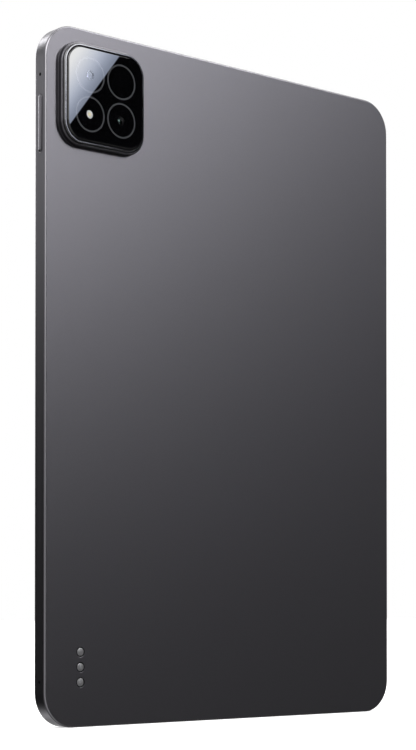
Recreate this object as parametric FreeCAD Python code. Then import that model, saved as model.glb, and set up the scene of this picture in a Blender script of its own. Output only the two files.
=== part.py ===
import FreeCAD, Part
import math
import os

# Tablet computer, standing in portrait on its bottom short edge. Millimetres.
# X runs across, towards the long side with the volume key. Y runs from the screen to the back. Z runs up.
# The origin is the bottom centre of the box round the whole object.
# Places inside are given as a depth behind the screen face, and a height above the back for the camera bump.
# Small or hidden rounds have flat sides. A cutting shape runs past what it cuts by overcut.

# Body
body_width = 173.42
body_length = 251.22
body_thickness = 6.18
corner_radius = 12.5
back_chamfer = 0.59
front_chamfer = 0.30
side_wall = 2.60
floor_thickness = 0.80
rim_width = 1.10
small_corner = 0.20
small_round_sides = 8
medium_round_sides = 16
large_round_sides = 24
overcut = 1.00

# Screen stack, from the front
glass_thickness = 0.70
glass_gap = 0.08
glass_edge_chamfer = 0.30
adhesive_thickness = 0.15
adhesive_margin = 0.20
lcd_thickness = 0.90
film_thickness = 0.30
guide_thickness = 0.45
tray_sheet = 0.20
display_side_margin = 6.40
display_end_margin = 8.20
display_corner = 3.0
bonding_ledge = 1.10
light_bar_width = 2.20
stack_gap = 0.30
display_clearance = 0.29
display_flex_width = 17.60
display_flex_rise = 0.48

# Camera bump
bump_margin = 5.65
plinth_size = 37.50
plinth_height = 2.15
plinth_corner = 8.45
plinth_chamfer = 0.35
trim_inset = 0.65
trim_width = 0.80
trim_height = 0.85
trim_chamfer = 0.42
deco_gap = 0.05
deco_thickness = 0.45
bump_glass_inset = 1.95
bump_glass_thickness = 0.74
bump_glass_chamfer = 0.42
bond_thickness = 0.06
lens_pitch = 14.08
ring_radius = 6.40
ring_width = 0.45

# Main camera with focus travel, second camera and flash
main_module_size = 9.60
main_module_top = 1.50
main_barrel_radius = 3.00
main_lens_gap = 0.36
main_barrel_length = 4.30
main_element_radius = 1.70
main_window_radius = 3.30
element_edge = 0.40
element_crown = 0.45
element_bands = (0, 40, 70)
lens_rim_width = 0.40
focus_travel = 0.30
running_clearance = 0.08
second_module_size = 7.80
second_module_top = 1.30
second_lens_gap = 0.66
second_barrel_radius = 2.20
second_barrel_length = 2.60
second_element_radius = 1.30
second_window_radius = 2.45
flash_radius = 1.55
flash_flange = 1.20
flash_flange_thickness = 0.30
flash_seat_height = 1.20
flash_board_thickness = 0.50
module_clearance = 0.20
module_corner = 1.00
sensor_board = 0.26
camera_tail_width = 4.40
camera_plug_height = 6.40

# Keys
key_width = 1.90
key_clearance = 0.12
key_proud = 0.45
key_chamfer = 0.32
key_wall = 1.00
key_flange_thickness = 0.50
key_flange_margin = 0.40
key_flange_end = 1.00
key_pocket_gap = 0.15
key_end_gap = 0.30
key_offset = 0.10
plunger_radius = 0.50
plunger_height = 0.30
rock_ridge_width = 1.00
stop_gap = 0.02
volume_key_length = 20.46
volume_key_from_top = 36.40
volume_rock_deg = 1.20
rock_gap = 0.33
volume_dome_spacing = 13.00
power_key_length = 12.00
power_bracket_gap = 0.50
power_travel = 0.25
dome_radius = 1.00
dome_clearance = 0.04
switch_board_thickness = 0.20
switch_board_margin = 1.50
bracket_thickness = 0.40
bracket_margin = 2.00
bracket_foot_length = 3.40
bracket_foot_width = 4.00

# Microphone holes in the long side
microphone_from_top = 18.84
microphone_from_bottom = 16.46
microphone_hole_radius = 0.38
microphone_length = 3.80
microphone_width = 2.60
microphone_height = 1.10

# Accessory contacts on the back
contact_count = 3
contact_pitch = 5.435
contact_from_side = 15.81
contact_middle_height = 21.48
contact_radius = 1.45
contact_collar = 0.30
contact_recess = 0.05
contact_stem_radius = 0.80
contact_clearance = 0.02
contact_plate_margin = 1.60
contact_plate_thickness = 0.50
contact_board_thickness = 0.40

# Charging port in the bottom edge
port_width = 8.94
port_height = 3.26
port_sheet = 0.30
port_length = 7.30
port_recess = 0.35
port_clearance = 0.08
port_tongue_width = 6.70
port_tongue_thickness = 0.70
port_tongue_length = 4.45
port_tongue_recess = 0.65
port_ear_length = 1.60
port_ear_reach = 1.50

# Speakers and their grilles
grille_holes = 8
grille_pitch = 2.00
grille_hole_radius = 0.50
speaker_depth = 17.0
speaker_bracket_gap = 0.71
speaker_tab_gap = 1.00
speaker_corner = 2.5
speaker_nose = 1.40
speaker_nose_margin = 1.20
speaker_duct_height = 1.20
speaker_wall = 0.60
speaker_ear = 4.0
membrane_margin = 3.0
membrane_step = 0.25
membrane_roll = 2.25
membrane_crown = 0.12
mesh_thickness = 0.20
mesh_margin = 0.60

# Boards, shields and chips
board_thickness = 0.70
boss_height = 0.69
boss_radius = 1.60
board_side_margin = 5.10
main_board_from_top = 56.0
main_board_step_from_top = 40.0
main_board_top_margin = 24.5
board_camera_gap = 5.37
main_board_tab_width = 24.0
main_board_tab_from_top = 8.7
shield_sheet = 0.20
shield_gap = 0.05
shield_margin = 3.50
processor_shield_width = 43.60
chip_spacing = 18.20
processor_size = 14.0
storage_size = 11.0
regulator_size = 7.0
chip_gap = 0.10
sub_board_width = 24.0
sub_board_start = 5.0
sub_board_length = 19.0
port_notch_gap = 0.15
connector_length = 3.50
flex_thickness = 0.12
main_flex_width = 11.20
main_flex_overlap = 7.00

# Screws
screw_radius = 0.62
screw_head_radius = 1.20
screw_head_height = 0.35
screw_hole_gap = 0.04
screw_board_gap = 0.14
screw_floor_bite = 0.10
screw_margin = 3.20

# Batteries and what lies beside them
rib_width = 1.20
rib_height = 1.80
battery_gap = 0.60
battery_swell_gap = 0.14
battery_from_bottom = 36.0
battery_round = 0.60
battery_corner = 1.80
battery_tab_width = 8.0
battery_tab_places = (24.0, 47.0)
battery_tab_thickness = 0.15
battery_board_width = 120.0
battery_board_depth = 4.0
battery_board_thickness = 1.20
battery_board_gap = 0.30
battery_plug_width = 10.50
battery_flex_rise = 0.80
board_to_battery_gap = 0.80
magnet_width = 3.40
magnet_length = 18.0
magnet_thickness = 1.60
magnet_gap = 0.20
magnet_bracket_gap = 2.98

# Front camera and light sensor at the middle of the key side
front_camera_width = 3.00
front_camera_length = 6.40
front_camera_body = 2.60
front_lens_radius = 1.25
front_camera_board_thickness = 0.20
front_camera_board_length = 20.0
light_pipe_radius = 0.80
light_pipe_offset = 12.0
behind_glass_gap = 0.10

# Antenna carriers in the two corners away from the keys
antenna_reach_x = 22.0
antenna_reach_z = 14.0
antenna_gap = 0.30
antenna_thickness = 2.00

# Places worked out from the sizes above
glass_seat_height = plinth_height + deco_thickness + bond_thickness
bump_height = glass_seat_height + bump_glass_thickness
main_barrel_top = glass_seat_height - main_lens_gap - focus_travel
second_barrel_top = glass_seat_height - second_lens_gap
half_width = body_width / 2
front_y = -(body_thickness + bump_height) / 2
back_y = front_y + body_thickness
ledge_depth = glass_thickness + adhesive_thickness
floor_depth = body_thickness - floor_thickness
tray_back_depth = glass_thickness + lcd_thickness + film_thickness + guide_thickness + tray_sheet
inner_front_depth = tray_back_depth + display_clearance
board_front_depth = floor_depth - boss_height - board_thickness
middle_depth = body_thickness / 2
cavity_half = half_width - side_wall
cavity_top = body_length - side_wall
bump_x = half_width - bump_margin - plinth_size / 2
bump_z = body_length - bump_margin - plinth_size / 2
main_lens = (bump_x + lens_pitch / 2, bump_z + lens_pitch / 2)
flash_lens = (bump_x + lens_pitch / 2, bump_z - lens_pitch / 2)
second_lens = (bump_x - lens_pitch / 2, bump_z - lens_pitch / 2)
bare_ring = (bump_x - lens_pitch / 2, bump_z + lens_pitch / 2)
key_depth = middle_depth + key_offset
volume_key_z = body_length - volume_key_from_top
power_key_x = (half_width - corner_radius - power_bracket_gap
               - power_key_length / 2 - key_flange_end - 2 * bracket_margin)
power_bracket_end = power_key_x - power_key_length / 2 - key_flange_end - 2 * bracket_margin
volume_bracket_end = volume_key_z - volume_key_length / 2 - key_flange_end - 2 * bracket_margin
speaker_end = power_bracket_end - speaker_bracket_gap
speaker_start = main_board_tab_width / 2 + speaker_tab_gap + speaker_ear
speaker_width = speaker_end - speaker_start
speaker_from_middle = (speaker_end + speaker_start) / 2
main_board_wing = second_lens[0] - second_module_size / 2 - board_camera_gap
main_board_bottom = body_length - main_board_from_top
battery_top = main_board_bottom - board_to_battery_gap - battery_board_depth - battery_board_gap
contact_x = half_width - contact_from_side
nodes = {}


# Helpers

def y_at(depth):
    """The Y of a plane that lies this far behind the screen face."""
    return front_y + depth


def y_up(height):
    """The Y of a plane that lies this far above the flat back."""
    return back_y + height


def spot(axis, u, v, w):
    """A point from its two places across an axis and its place along it."""
    if axis == "X":
        return FreeCAD.Vector(w, u, v)
    if axis == "Y":
        return FreeCAD.Vector(u, w, v)
    return FreeCAD.Vector(u, v, w)


def outline(axis, u, v, u_size, v_size, radius, level, plain=False):
    """A closed rectangle with round corners, or with plain cut ones, across an axis at one level."""
    r = min(radius, u_size / 2, v_size / 2)
    u_reach = u_size / 2 - r
    v_reach = v_size / 2 - r
    edges = []
    corners = []
    for turn, (su, sv) in enumerate(((1, 1), (-1, 1), (-1, -1), (1, -1))):
        points = []
        for part in (0, 45, 90):
            angle = math.radians(turn * 90 + part)
            points.append(spot(axis, u + su * u_reach + r * math.cos(angle),
                               v + sv * v_reach + r * math.sin(angle), level))
        corners.append(points)
    for index, points in enumerate(corners):
        if plain:
            edges.append(Part.LineSegment(points[0], points[2]).toShape())
        elif r > 0:
            edges.append(Part.Arc(*points).toShape())
        following = corners[(index + 1) % 4][0]
        if points[2].distanceToPoint(following) > 1e-6:
            edges.append(Part.LineSegment(points[2], following).toShape())
    return Part.Wire(edges)


def prism(axis, u, v, u_size, v_size, radius, start, end, plain=False):
    """A bar of rounded rectangular section along an axis, from start to end."""
    face = Part.Face(outline(axis, u, v, u_size, v_size, radius, start, plain))
    return face.extrude(spot(axis, 0, 0, end - start))


def box(x0, x1, y0, y1, z0, z1):
    return Part.makeBox(x1 - x0, y1 - y0, z1 - z0, FreeCAD.Vector(x0, y0, z0))


def faceted(axis, u, v, radius, start, end, sides=small_round_sides):
    """A round bar drawn with flat sides, for what is small, repeated or hidden."""
    points = [spot(axis, u + radius * math.cos(2 * math.pi * index / sides),
                   v + radius * math.sin(2 * math.pi * index / sides), start) for index in range(sides)]
    face = Part.Face(Part.makePolygon(points + points[:1]))
    return face.extrude(spot(axis, 0, 0, end - start))


def tapered(axis, u, v, start_radius, end_radius, start, end, sides=medium_round_sides):
    """A cone frustum drawn with flat sides, on the same corners as a faceted bar."""
    rings = []
    for radius, level in ((start_radius, start), (end_radius, end)):
        rings.append([spot(axis, u + radius * math.cos(2 * math.pi * index / sides),
                           v + radius * math.sin(2 * math.pi * index / sides), level)
                      for index in range(sides)])
    faces = [Part.Face(Part.makePolygon(ring + ring[:1])) for ring in rings]
    for index in range(sides):
        low, low_next = rings[0][index - 1], rings[0][index]
        high, high_next = rings[1][index - 1], rings[1][index]
        faces.append(Part.Face(Part.makePolygon([low, low_next, high_next, high, low])))
    return Part.Solid(Part.Shell(faces))


def flat_edges(shape, axis, level):
    """The edges that lie wholly in one plane across an axis."""
    found = []
    for edge in shape.Edges:
        bounds = edge.BoundBox
        low = getattr(bounds, axis + "Min")
        high = getattr(bounds, axis + "Max")
        if abs(low - level) < 1e-3 and abs(high - level) < 1e-3:
            found.append(edge)
    return found


def chamfered(shape, axis, level, size):
    return shape.makeChamfer(size, flat_edges(shape, axis, level))


def joined(*shapes):
    """One solid from pieces that touch or overlap."""
    return shapes[0].fuse(list(shapes[1:])).removeSplitter()


def group(shapes):
    return Part.makeCompound(shapes)


def upside(shape):
    """The same piece at the other short end."""
    return shape.mirror(FreeCAD.Vector(0, 0, body_length / 2), FreeCAD.Vector(0, 0, 1))


def other_side(shape):
    """The same piece at the other long side."""
    return shape.mirror(FreeCAD.Vector(0, 0, 0), FreeCAD.Vector(1, 0, 0))


# Where the screws go: X, Z and the depth of the face that the head presses on

def bracket_ends(middle, key_length):
    reach = key_length / 2 + key_flange_end + 2 * bracket_margin
    return [middle + side * (reach - bracket_foot_width / 2) for side in (-1, 1)]


foot_depth = floor_depth - boss_height - bracket_thickness
volume_foot_x = cavity_half - switch_board_thickness - bracket_thickness - bracket_foot_length / 2
power_foot_z = cavity_top - switch_board_thickness - bracket_thickness - bracket_foot_length / 2
bracket_screws = [(volume_foot_x, z, foot_depth) for z in bracket_ends(volume_key_z, volume_key_length)]
bracket_screws += [(x, power_foot_z, foot_depth) for x in bracket_ends(power_key_x, power_key_length)]
board_edge = cavity_half - board_side_margin
speaker_screw_x = speaker_from_middle - speaker_width / 2 - speaker_ear / 2
speaker_screw_z = side_wall + mesh_thickness + speaker_nose + speaker_depth / 2
speaker_screws = []
for side in (-1, 1):
    for height in (speaker_screw_z, body_length - speaker_screw_z):
        speaker_screws.append((side * speaker_screw_x, height, board_front_depth))
main_board_low_z = main_board_bottom + screw_margin
main_board_high_z = body_length - main_board_top_margin - screw_margin
main_board_screws = [
    (-board_edge + screw_margin, main_board_low_z, board_front_depth),
    (board_edge - screw_margin, main_board_low_z, board_front_depth),
    (-board_edge + screw_margin, main_board_high_z, board_front_depth),
    (main_board_tab_width / 2 + boss_radius, main_board_low_z, board_front_depth),
]
sub_board_screw_z = sub_board_start + sub_board_length - screw_margin
sub_board_screws = [(side * (sub_board_width / 2 - screw_margin), sub_board_screw_z, board_front_depth)
                    for side in (-1, 1)]
all_screws = bracket_screws + speaker_screws + main_board_screws + sub_board_screws


def board_with_holes(shape, places):
    holes = [faceted("Y", x, z, screw_radius + screw_board_gap, y_at(depth) - overcut, y_at(floor_depth))
             for x, z, depth in places]
    return shape.cut(holes)


# Rear housing: one machined shell with the camera plinth, key pockets, grilles, ribs and screw bosses

def key_slots():
    """The slots for the two keys, each with the wider pocket that its flange moves in."""
    slot_width = key_width + 2 * key_clearance
    pocket_width = key_width + 2 * key_flange_margin + 2 * key_pocket_gap
    cuts = []
    for axis, outer, inner in (("X", half_width, cavity_half), ("Z", body_length, cavity_top)):
        length = volume_key_length if axis == "X" else power_key_length
        slot = (slot_width, length + 2 * key_clearance)
        pocket = (pocket_width, length + 2 * key_flange_end + 2 * key_end_gap)
        centre = (y_at(key_depth), volume_key_z)
        if axis == "Z":
            slot = slot[::-1]
            pocket = pocket[::-1]
            centre = (power_key_x, y_at(key_depth))
        cuts.append(prism(axis, *centre, *slot, slot_width / 2, inner - overcut, outer + overcut))
        cuts.append(prism(axis, *centre, *pocket, module_corner, inner - overcut, outer - key_wall, True))
    return cuts


def grille_cuts():
    """A row of round holes in front of each of the four speakers."""
    cuts = []
    for side in (-1, 1):
        for index in range(grille_holes):
            x = side * speaker_from_middle + (index - (grille_holes - 1) / 2) * grille_pitch
            for start in (-overcut, cavity_top - overcut):
                cuts.append(faceted("Z", x, y_at(middle_depth), grille_hole_radius, start,
                                    start + side_wall + 2 * overcut))
    return cuts


def camera_cuts():
    """The openings through the floor and plinth for the two cameras and the flash."""
    cuts = []
    for place, size in ((main_lens, main_module_size), (second_lens, second_module_size)):
        wide = size + 2 * module_clearance
        cuts.append(prism("Y", *place, wide, wide, module_corner, y_at(floor_depth) - overcut,
                          y_up(plinth_height) + overcut, True))
    seat_radius = flash_radius + flash_flange + module_clearance
    cuts.append(faceted("Y", *flash_lens, seat_radius, y_at(floor_depth) - overcut, y_up(flash_seat_height)))
    cuts.append(faceted("Y", *flash_lens, flash_radius + module_clearance, y_at(floor_depth),
                        y_up(plinth_height) + overcut))
    return cuts


def contact_heights():
    return [contact_middle_height + (index - (contact_count - 1) / 2) * contact_pitch
            for index in range(contact_count)]


def rear_housing():
    shell = prism("Y", 0, body_length / 2, body_width, body_length, corner_radius, front_y, back_y)
    shell = chamfered(shell, "Y", back_y, back_chamfer)
    shell = chamfered(shell, "Y", front_y, front_chamfer)
    plinth = prism("Y", bump_x, bump_z, plinth_size, plinth_size, plinth_corner,
                   y_at(floor_depth), y_up(plinth_height))
    plinth = chamfered(plinth, "Y", y_up(plinth_height), plinth_chamfer)
    recess = prism("Y", 0, body_length / 2, body_width - 2 * rim_width, body_length - 2 * rim_width,
                   corner_radius - rim_width, front_y - overcut, y_at(ledge_depth))
    cavity = prism("Y", 0, body_length / 2, 2 * cavity_half, body_length - 2 * side_wall,
                   corner_radius - side_wall, front_y - overcut, y_at(floor_depth))
    shell = shell.cut([recess, cavity]).fuse(plinth)
    cuts = key_slots() + grille_cuts() + camera_cuts()
    cuts.append(prism("Z", 0, y_at(middle_depth), port_width + 2 * port_clearance,
                      port_height + 2 * port_clearance, port_height, -overcut, side_wall + overcut))
    for z in (microphone_from_bottom, body_length - microphone_from_top):
        cuts.append(faceted("X", y_at(middle_depth), z, microphone_hole_radius, cavity_half - overcut,
                            half_width + overcut))
    for z in contact_heights():
        cuts.append(faceted("Y", contact_x, z, contact_radius + contact_collar + contact_clearance,
                            y_at(floor_depth) - overcut, back_y + overcut, medium_round_sides))
    shell = shell.cut(cuts)
    rib_y = y_at(floor_depth) - rib_height
    additions = [box(-rib_width / 2, rib_width / 2, rib_y, y_at(floor_depth), battery_from_bottom,
                     battery_top)]
    rib_start = sub_board_width / 2
    for side in (-1, 1):
        rib = box(rib_start, board_edge, rib_y, y_at(floor_depth),
                  battery_from_bottom - battery_gap - rib_width, battery_from_bottom - battery_gap)
        additions.append(rib if side > 0 else other_side(rib))
    for x, z, _ in all_screws:
        additions.append(faceted("Y", x, z, boss_radius, y_at(floor_depth - boss_height), y_at(floor_depth)))
    shell = shell.fuse(additions)
    hole_end = y_at(floor_depth + screw_floor_bite + screw_hole_gap)
    holes = [faceted("Y", x, z, screw_radius + screw_hole_gap, y_at(floor_depth - boss_height) - overcut,
                     hole_end) for x, z, _ in all_screws]
    return shell.cut(holes).removeSplitter()


# Screen: cover glass, adhesive ring and the display module bonded behind the glass

def display_plate(margin, start, end):
    """A plate of the display module's outline, drawn in by a margin, between two depths."""
    width = body_width - 2 * (display_side_margin + margin)
    length = body_length - 2 * (display_end_margin + margin)
    return prism("Y", 0, body_length / 2, width, length, display_corner - margin, y_at(start), y_at(end))


def screen():
    inset = rim_width + glass_gap
    glass = prism("Y", 0, body_length / 2, body_width - 2 * inset, body_length - 2 * inset,
                  corner_radius - inset, front_y, y_at(glass_thickness))
    nodes["cover_glass"] = chamfered(glass, "Y", front_y, glass_edge_chamfer)
    outer = rim_width + adhesive_margin
    inner = side_wall - adhesive_margin / 2
    ring = []
    for inset, start, end in ((outer, glass_thickness, ledge_depth),
                              (inner, glass_thickness - overcut, ledge_depth + overcut)):
        ring.append(prism("Y", 0, body_length / 2, body_width - 2 * inset, body_length - 2 * inset,
                          corner_radius - inset, y_at(start), y_at(end)))
    nodes["display_adhesive"] = ring[0].cut(ring[1])

    lcd_back = glass_thickness + lcd_thickness
    film_back = lcd_back + film_thickness
    guide_back = film_back + guide_thickness
    nodes["lcd_cell"] = display_plate(0, glass_thickness, lcd_back)
    tray_top = body_length - display_end_margin - bonding_ledge
    above = box(-half_width, half_width, front_y, back_y, tray_top, body_length)
    tray = display_plate(stack_gap, lcd_back, tray_back_depth).cut(above)
    inside = display_plate(stack_gap + tray_sheet, lcd_back - overcut, guide_back)
    inside = inside.cut(box(-half_width, half_width, front_y, back_y, tray_top - tray_sheet, body_length))
    nodes["backlight_tray"] = tray.cut(inside)
    sheet_margin = stack_gap + tray_sheet + module_clearance
    over = tray_top - tray_sheet - module_clearance
    top_cut = box(-half_width, half_width, front_y, back_y, over, body_length)
    nodes["optical_film_stack"] = display_plate(sheet_margin, lcd_back, film_back).cut(top_cut)
    bar_top = display_end_margin + sheet_margin + light_bar_width
    bottom_cut = box(-half_width, half_width, front_y, back_y, 0, bar_top + module_clearance)
    nodes["light_guide"] = display_plate(sheet_margin, film_back, guide_back).cut([top_cut, bottom_cut])
    bar_half = half_width - display_side_margin - display_corner - sheet_margin
    nodes["led_light_bar"] = box(-bar_half, bar_half, y_at(film_back), y_at(guide_back),
                                 bar_top - light_bar_width, bar_top)


def display_flex():
    """A tail bonded to the panel's top ledge, folded back behind the tray to a plug on the main board."""
    first = glass_thickness + lcd_thickness
    last = tray_back_depth + display_clearance / 2 + flex_thickness
    fold_top = body_length - display_end_margin + display_flex_rise
    plug_top = body_length - main_board_tab_from_top - connector_length
    plug_low = plug_top - connector_length
    length = 2 * (fold_top - plug_low)
    width = display_flex_width
    band = prism("X", y_at((first + last) / 2), fold_top - length / 2, last - first, length,
                 (last - first) / 2, -width / 2, width / 2)
    hollow = prism("X", y_at((first + last) / 2), fold_top - length / 2, last - first - 2 * flex_thickness,
                   length - 2 * flex_thickness, (last - first) / 2 - flex_thickness, -width, width)
    lower = box(-width, width, y_at(first) - overcut, y_at(last) + overcut, plug_low - length, plug_low)
    ledge_bottom = body_length - display_end_margin - bonding_ledge + stack_gap
    short_leg = box(-width, width, y_at(first) - overcut, y_at(first + flex_thickness), plug_low - length,
                    ledge_bottom)
    band = band.cut([hollow, lower, short_leg])
    plug = box(-width / 2, width / 2, y_at(last), y_at(board_front_depth), plug_low, plug_top)
    nodes["display_flex"] = joined(band, plug)


# Camera bump: polished trim, black deco plate, lens rings and cover glass on the plinth

def camera_bump():
    trim_size = plinth_size - 2 * trim_inset
    trim_corner = plinth_corner - trim_inset
    trim_top = plinth_height + trim_height
    trim = prism("Y", bump_x, bump_z, trim_size, trim_size, trim_corner, y_up(plinth_height), y_up(trim_top))
    trim = chamfered(trim, "Y", y_up(trim_top), trim_chamfer)
    bore_size = trim_size - 2 * trim_width
    bore_corner = trim_corner - trim_width
    bore = prism("Y", bump_x, bump_z, bore_size, bore_size, bore_corner, y_up(plinth_height) - overcut,
                 y_up(trim_top) + overcut)
    nodes["camera_trim_ring"] = trim.cut(bore)

    deco_size = bore_size - 2 * deco_gap
    deco_top = plinth_height + deco_thickness
    deco = prism("Y", bump_x, bump_z, deco_size, deco_size, bore_corner - deco_gap,
                 y_up(plinth_height), y_up(deco_top))
    windows = []
    for place, radius in ((main_lens, main_window_radius), (second_lens, second_window_radius),
                          (flash_lens, flash_radius + running_clearance)):
        windows.append(faceted("Y", *place, radius, y_up(plinth_height) - overcut, y_up(deco_top) + overcut,
                               medium_round_sides))
    nodes["camera_deco_plate"] = deco.cut(windows)

    for number, place in enumerate((main_lens, flash_lens, second_lens, bare_ring), 1):
        ring = faceted("Y", *place, ring_radius, y_up(deco_top), y_up(deco_top + bond_thickness),
                       large_round_sides)
        hole = faceted("Y", *place, ring_radius - ring_width, y_up(deco_top) - overcut,
                       y_up(deco_top) + overcut, large_round_sides)
        nodes["lens_ring_%d" % number] = ring.cut(hole)

    glass_size = plinth_size - 2 * bump_glass_inset
    glass = prism("Y", bump_x, bump_z, glass_size, glass_size, plinth_corner - bump_glass_inset,
                  y_up(deco_top + bond_thickness), y_up(bump_height))
    nodes["camera_cover_glass"] = chamfered(glass, "Y", y_up(bump_height), bump_glass_chamfer)


def lens_seat(radius, element_radius, top):
    """The height of the front element's seat, at the foot of a cone of 45 degrees."""
    return top - (radius - lens_rim_width - element_radius)


def lens_barrel(place, radius, element_radius, top, length):
    """A barrel with a cone round its front element and a light path through it."""
    seat = lens_seat(radius, element_radius, top)
    tube = faceted("Y", *place, radius, y_up(top - length), y_up(top), medium_round_sides)
    cone = tapered("Y", *place, element_radius, radius - lens_rim_width, y_up(seat), y_up(top))
    pocket = faceted("Y", *place, element_radius, y_up(seat - element_edge), y_up(seat), medium_round_sides)
    light_path = faceted("Y", *place, element_radius / 2, y_up(top - length) - overcut, y_up(seat))
    return tube.cut([cone, pocket, light_path])


def lens_element(place, radius, seat):
    """A front element in the barrel's seat. Its crown is a quarter ellipse in bands of given angles."""
    edge = radius - running_clearance / 2
    pieces = [faceted("Y", *place, edge, y_up(seat - element_edge), y_up(seat), medium_round_sides)]
    for first, last in zip(element_bands, element_bands[1:]):
        ends = [math.radians(first), math.radians(last)]
        radii = [edge * math.cos(angle) for angle in ends]
        heights = [y_up(seat + element_crown * math.sin(angle)) for angle in ends]
        pieces.append(tapered("Y", *place, *radii, *heights))
    return joined(*pieces)


def cameras():
    x, z = main_lens
    bore_radius = main_barrel_radius + running_clearance
    body_start = inner_front_depth + module_clearance / 2 + sensor_board
    body = prism("Y", x, z, main_module_size, main_module_size, module_corner, y_at(body_start),
                 y_up(main_module_top), True)
    bore = faceted("Y", x, z, bore_radius, y_at(body_start + sensor_board), y_up(main_module_top) + overcut,
                   medium_round_sides)
    nodes["main_camera_module"] = body.cut(bore)
    nodes["main_camera_barrel"] = lens_barrel(main_lens, main_barrel_radius, main_element_radius,
                                              main_barrel_top, main_barrel_length)
    seat = lens_seat(main_barrel_radius, main_element_radius, main_barrel_top)
    nodes["main_camera_element"] = lens_element(main_lens, main_element_radius, seat)

    tail_front = inner_front_depth + module_clearance / 2
    plug_z = main_board_bottom + camera_plug_height
    nodes["main_camera_board"] = joined(
        prism("Y", x, z, main_module_size, main_module_size, module_corner, y_at(tail_front),
              y_at(body_start), True),
        camera_tail(x, z - main_module_size / 2 + module_corner, plug_z, tail_front))

    x, z = second_lens
    top = second_module_top
    body = prism("Y", x, z, second_module_size, second_module_size, module_corner, y_at(tail_front),
                 y_up(top), True)
    bore = faceted("Y", x, z, second_barrel_radius, y_up(second_barrel_top - second_barrel_length),
                   y_up(top) + overcut, medium_round_sides)
    tail = camera_tail(x, z - second_module_size / 2 + module_corner, plug_z, tail_front)
    nodes["second_camera_module"] = joined(body, tail).cut(bore)
    outer = second_barrel_radius - running_clearance / 2
    barrel = lens_barrel(second_lens, outer, second_element_radius, second_barrel_top, second_barrel_length)
    seat = lens_seat(outer, second_element_radius, second_barrel_top)
    nodes["second_camera_lens"] = group([barrel, lens_element(second_lens, second_element_radius, seat)])

    x, z = flash_lens
    flange_start = flash_seat_height - flash_flange_thickness
    dome = faceted("Y", x, z, flash_radius, y_up(flange_start), y_up(plinth_height + deco_thickness),
                   medium_round_sides)
    flange = faceted("Y", x, z, flash_radius + flash_flange, y_up(flange_start), y_up(flash_seat_height))
    nodes["flash_lens"] = joined(dome, flange)
    nodes["flash_board"] = faceted("Y", x, z, flash_radius + flash_flange,
                                   y_up(flange_start - flash_board_thickness), y_up(flange_start))


def camera_tail(x, z_top, plug_z, front):
    """A flat tail from a camera down to its plug on the main board."""
    half = camera_tail_width / 2
    strip = box(x - half, x + half, y_at(front), y_at(front + flex_thickness), plug_z, z_top)
    plug = box(x - half, x + half, y_at(front + flex_thickness), y_at(board_front_depth), plug_z,
               plug_z + connector_length)
    return joined(strip, plug)


# Keys: the volume key rocks about its middle, the power key slides straight in

def key_body(axis, outer, middle, length, flange_gap):
    """A pill cap through the wall, the flange behind it and a step that stops it on the wall."""
    def sized(width, extent):
        return (width, extent) if axis == "X" else (extent, width)

    centre = (y_at(key_depth), middle) if axis == "X" else (middle, y_at(key_depth))
    flange_top = outer - key_wall - stop_gap - flange_gap
    flange_low = flange_top - key_flange_thickness
    cap = prism(axis, *centre, *sized(key_width, length), key_width / 2, flange_top, outer + key_proud)
    cap = chamfered(cap, axis, outer + key_proud, key_chamfer)
    flange_width = key_width + 2 * key_flange_margin
    flange = prism(axis, *centre, *sized(flange_width, length + 2 * key_flange_end), module_corner,
                   flange_low, flange_top, True)
    pieces = [cap, flange]
    if flange_gap > 0:
        pieces.append(prism(axis, *centre, *sized(flange_width, rock_ridge_width), small_corner, flange_top,
                            outer - key_wall - stop_gap, True))
    return pieces, flange_low


def switch_set(axis, wall_face, centre, length, domes, dome_top):
    """A switch board on the wall's inner face with a dome behind each plunger."""
    pocket_width = key_width + 2 * key_flange_margin + 2 * key_pocket_gap
    size = (pocket_width + 2 * key_end_gap, length + 2 * key_flange_end + 2 * switch_board_margin)
    if axis == "Z":
        size = size[::-1]
    board = prism(axis, *centre, *size, module_corner, wall_face - switch_board_thickness, wall_face, True)
    pieces = [board]
    for offset in domes:
        u, v = (centre[0], centre[1] + offset) if axis == "X" else (centre[0] + offset, centre[1])
        pieces.append(faceted(axis, u, v, dome_radius, wall_face, dome_top))
    return joined(*pieces)


def key_bracket(axis, wall_face, middle, length, feet):
    """A pressed strip behind the switch board with a foot on a screw boss at each end."""
    face = wall_face - switch_board_thickness
    reach = length / 2 + key_flange_end + 2 * bracket_margin
    pocket_width = key_width + 2 * key_flange_margin + 2 * key_pocket_gap
    half = pocket_width / 2 + key_end_gap
    y0 = y_at(key_depth - half)
    y1 = max(y_at(foot_depth + bracket_thickness), y_at(key_depth + half))
    strip_start = face - bracket_thickness
    pieces = []
    if axis == "X":
        pieces.append(box(strip_start, face, y0, y1, middle - reach, middle + reach))
    else:
        pieces.append(box(middle - reach, middle + reach, y0, y1, strip_start, face))
    for place in feet:
        low = place - bracket_foot_width / 2
        high = place + bracket_foot_width / 2
        foot = (y_at(foot_depth), y_at(foot_depth + bracket_thickness))
        if axis == "X":
            pieces.append(box(strip_start - bracket_foot_length, face, *foot, low, high))
        else:
            pieces.append(box(low, high, *foot, strip_start - bracket_foot_length, face))
    return joined(*pieces)


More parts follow.
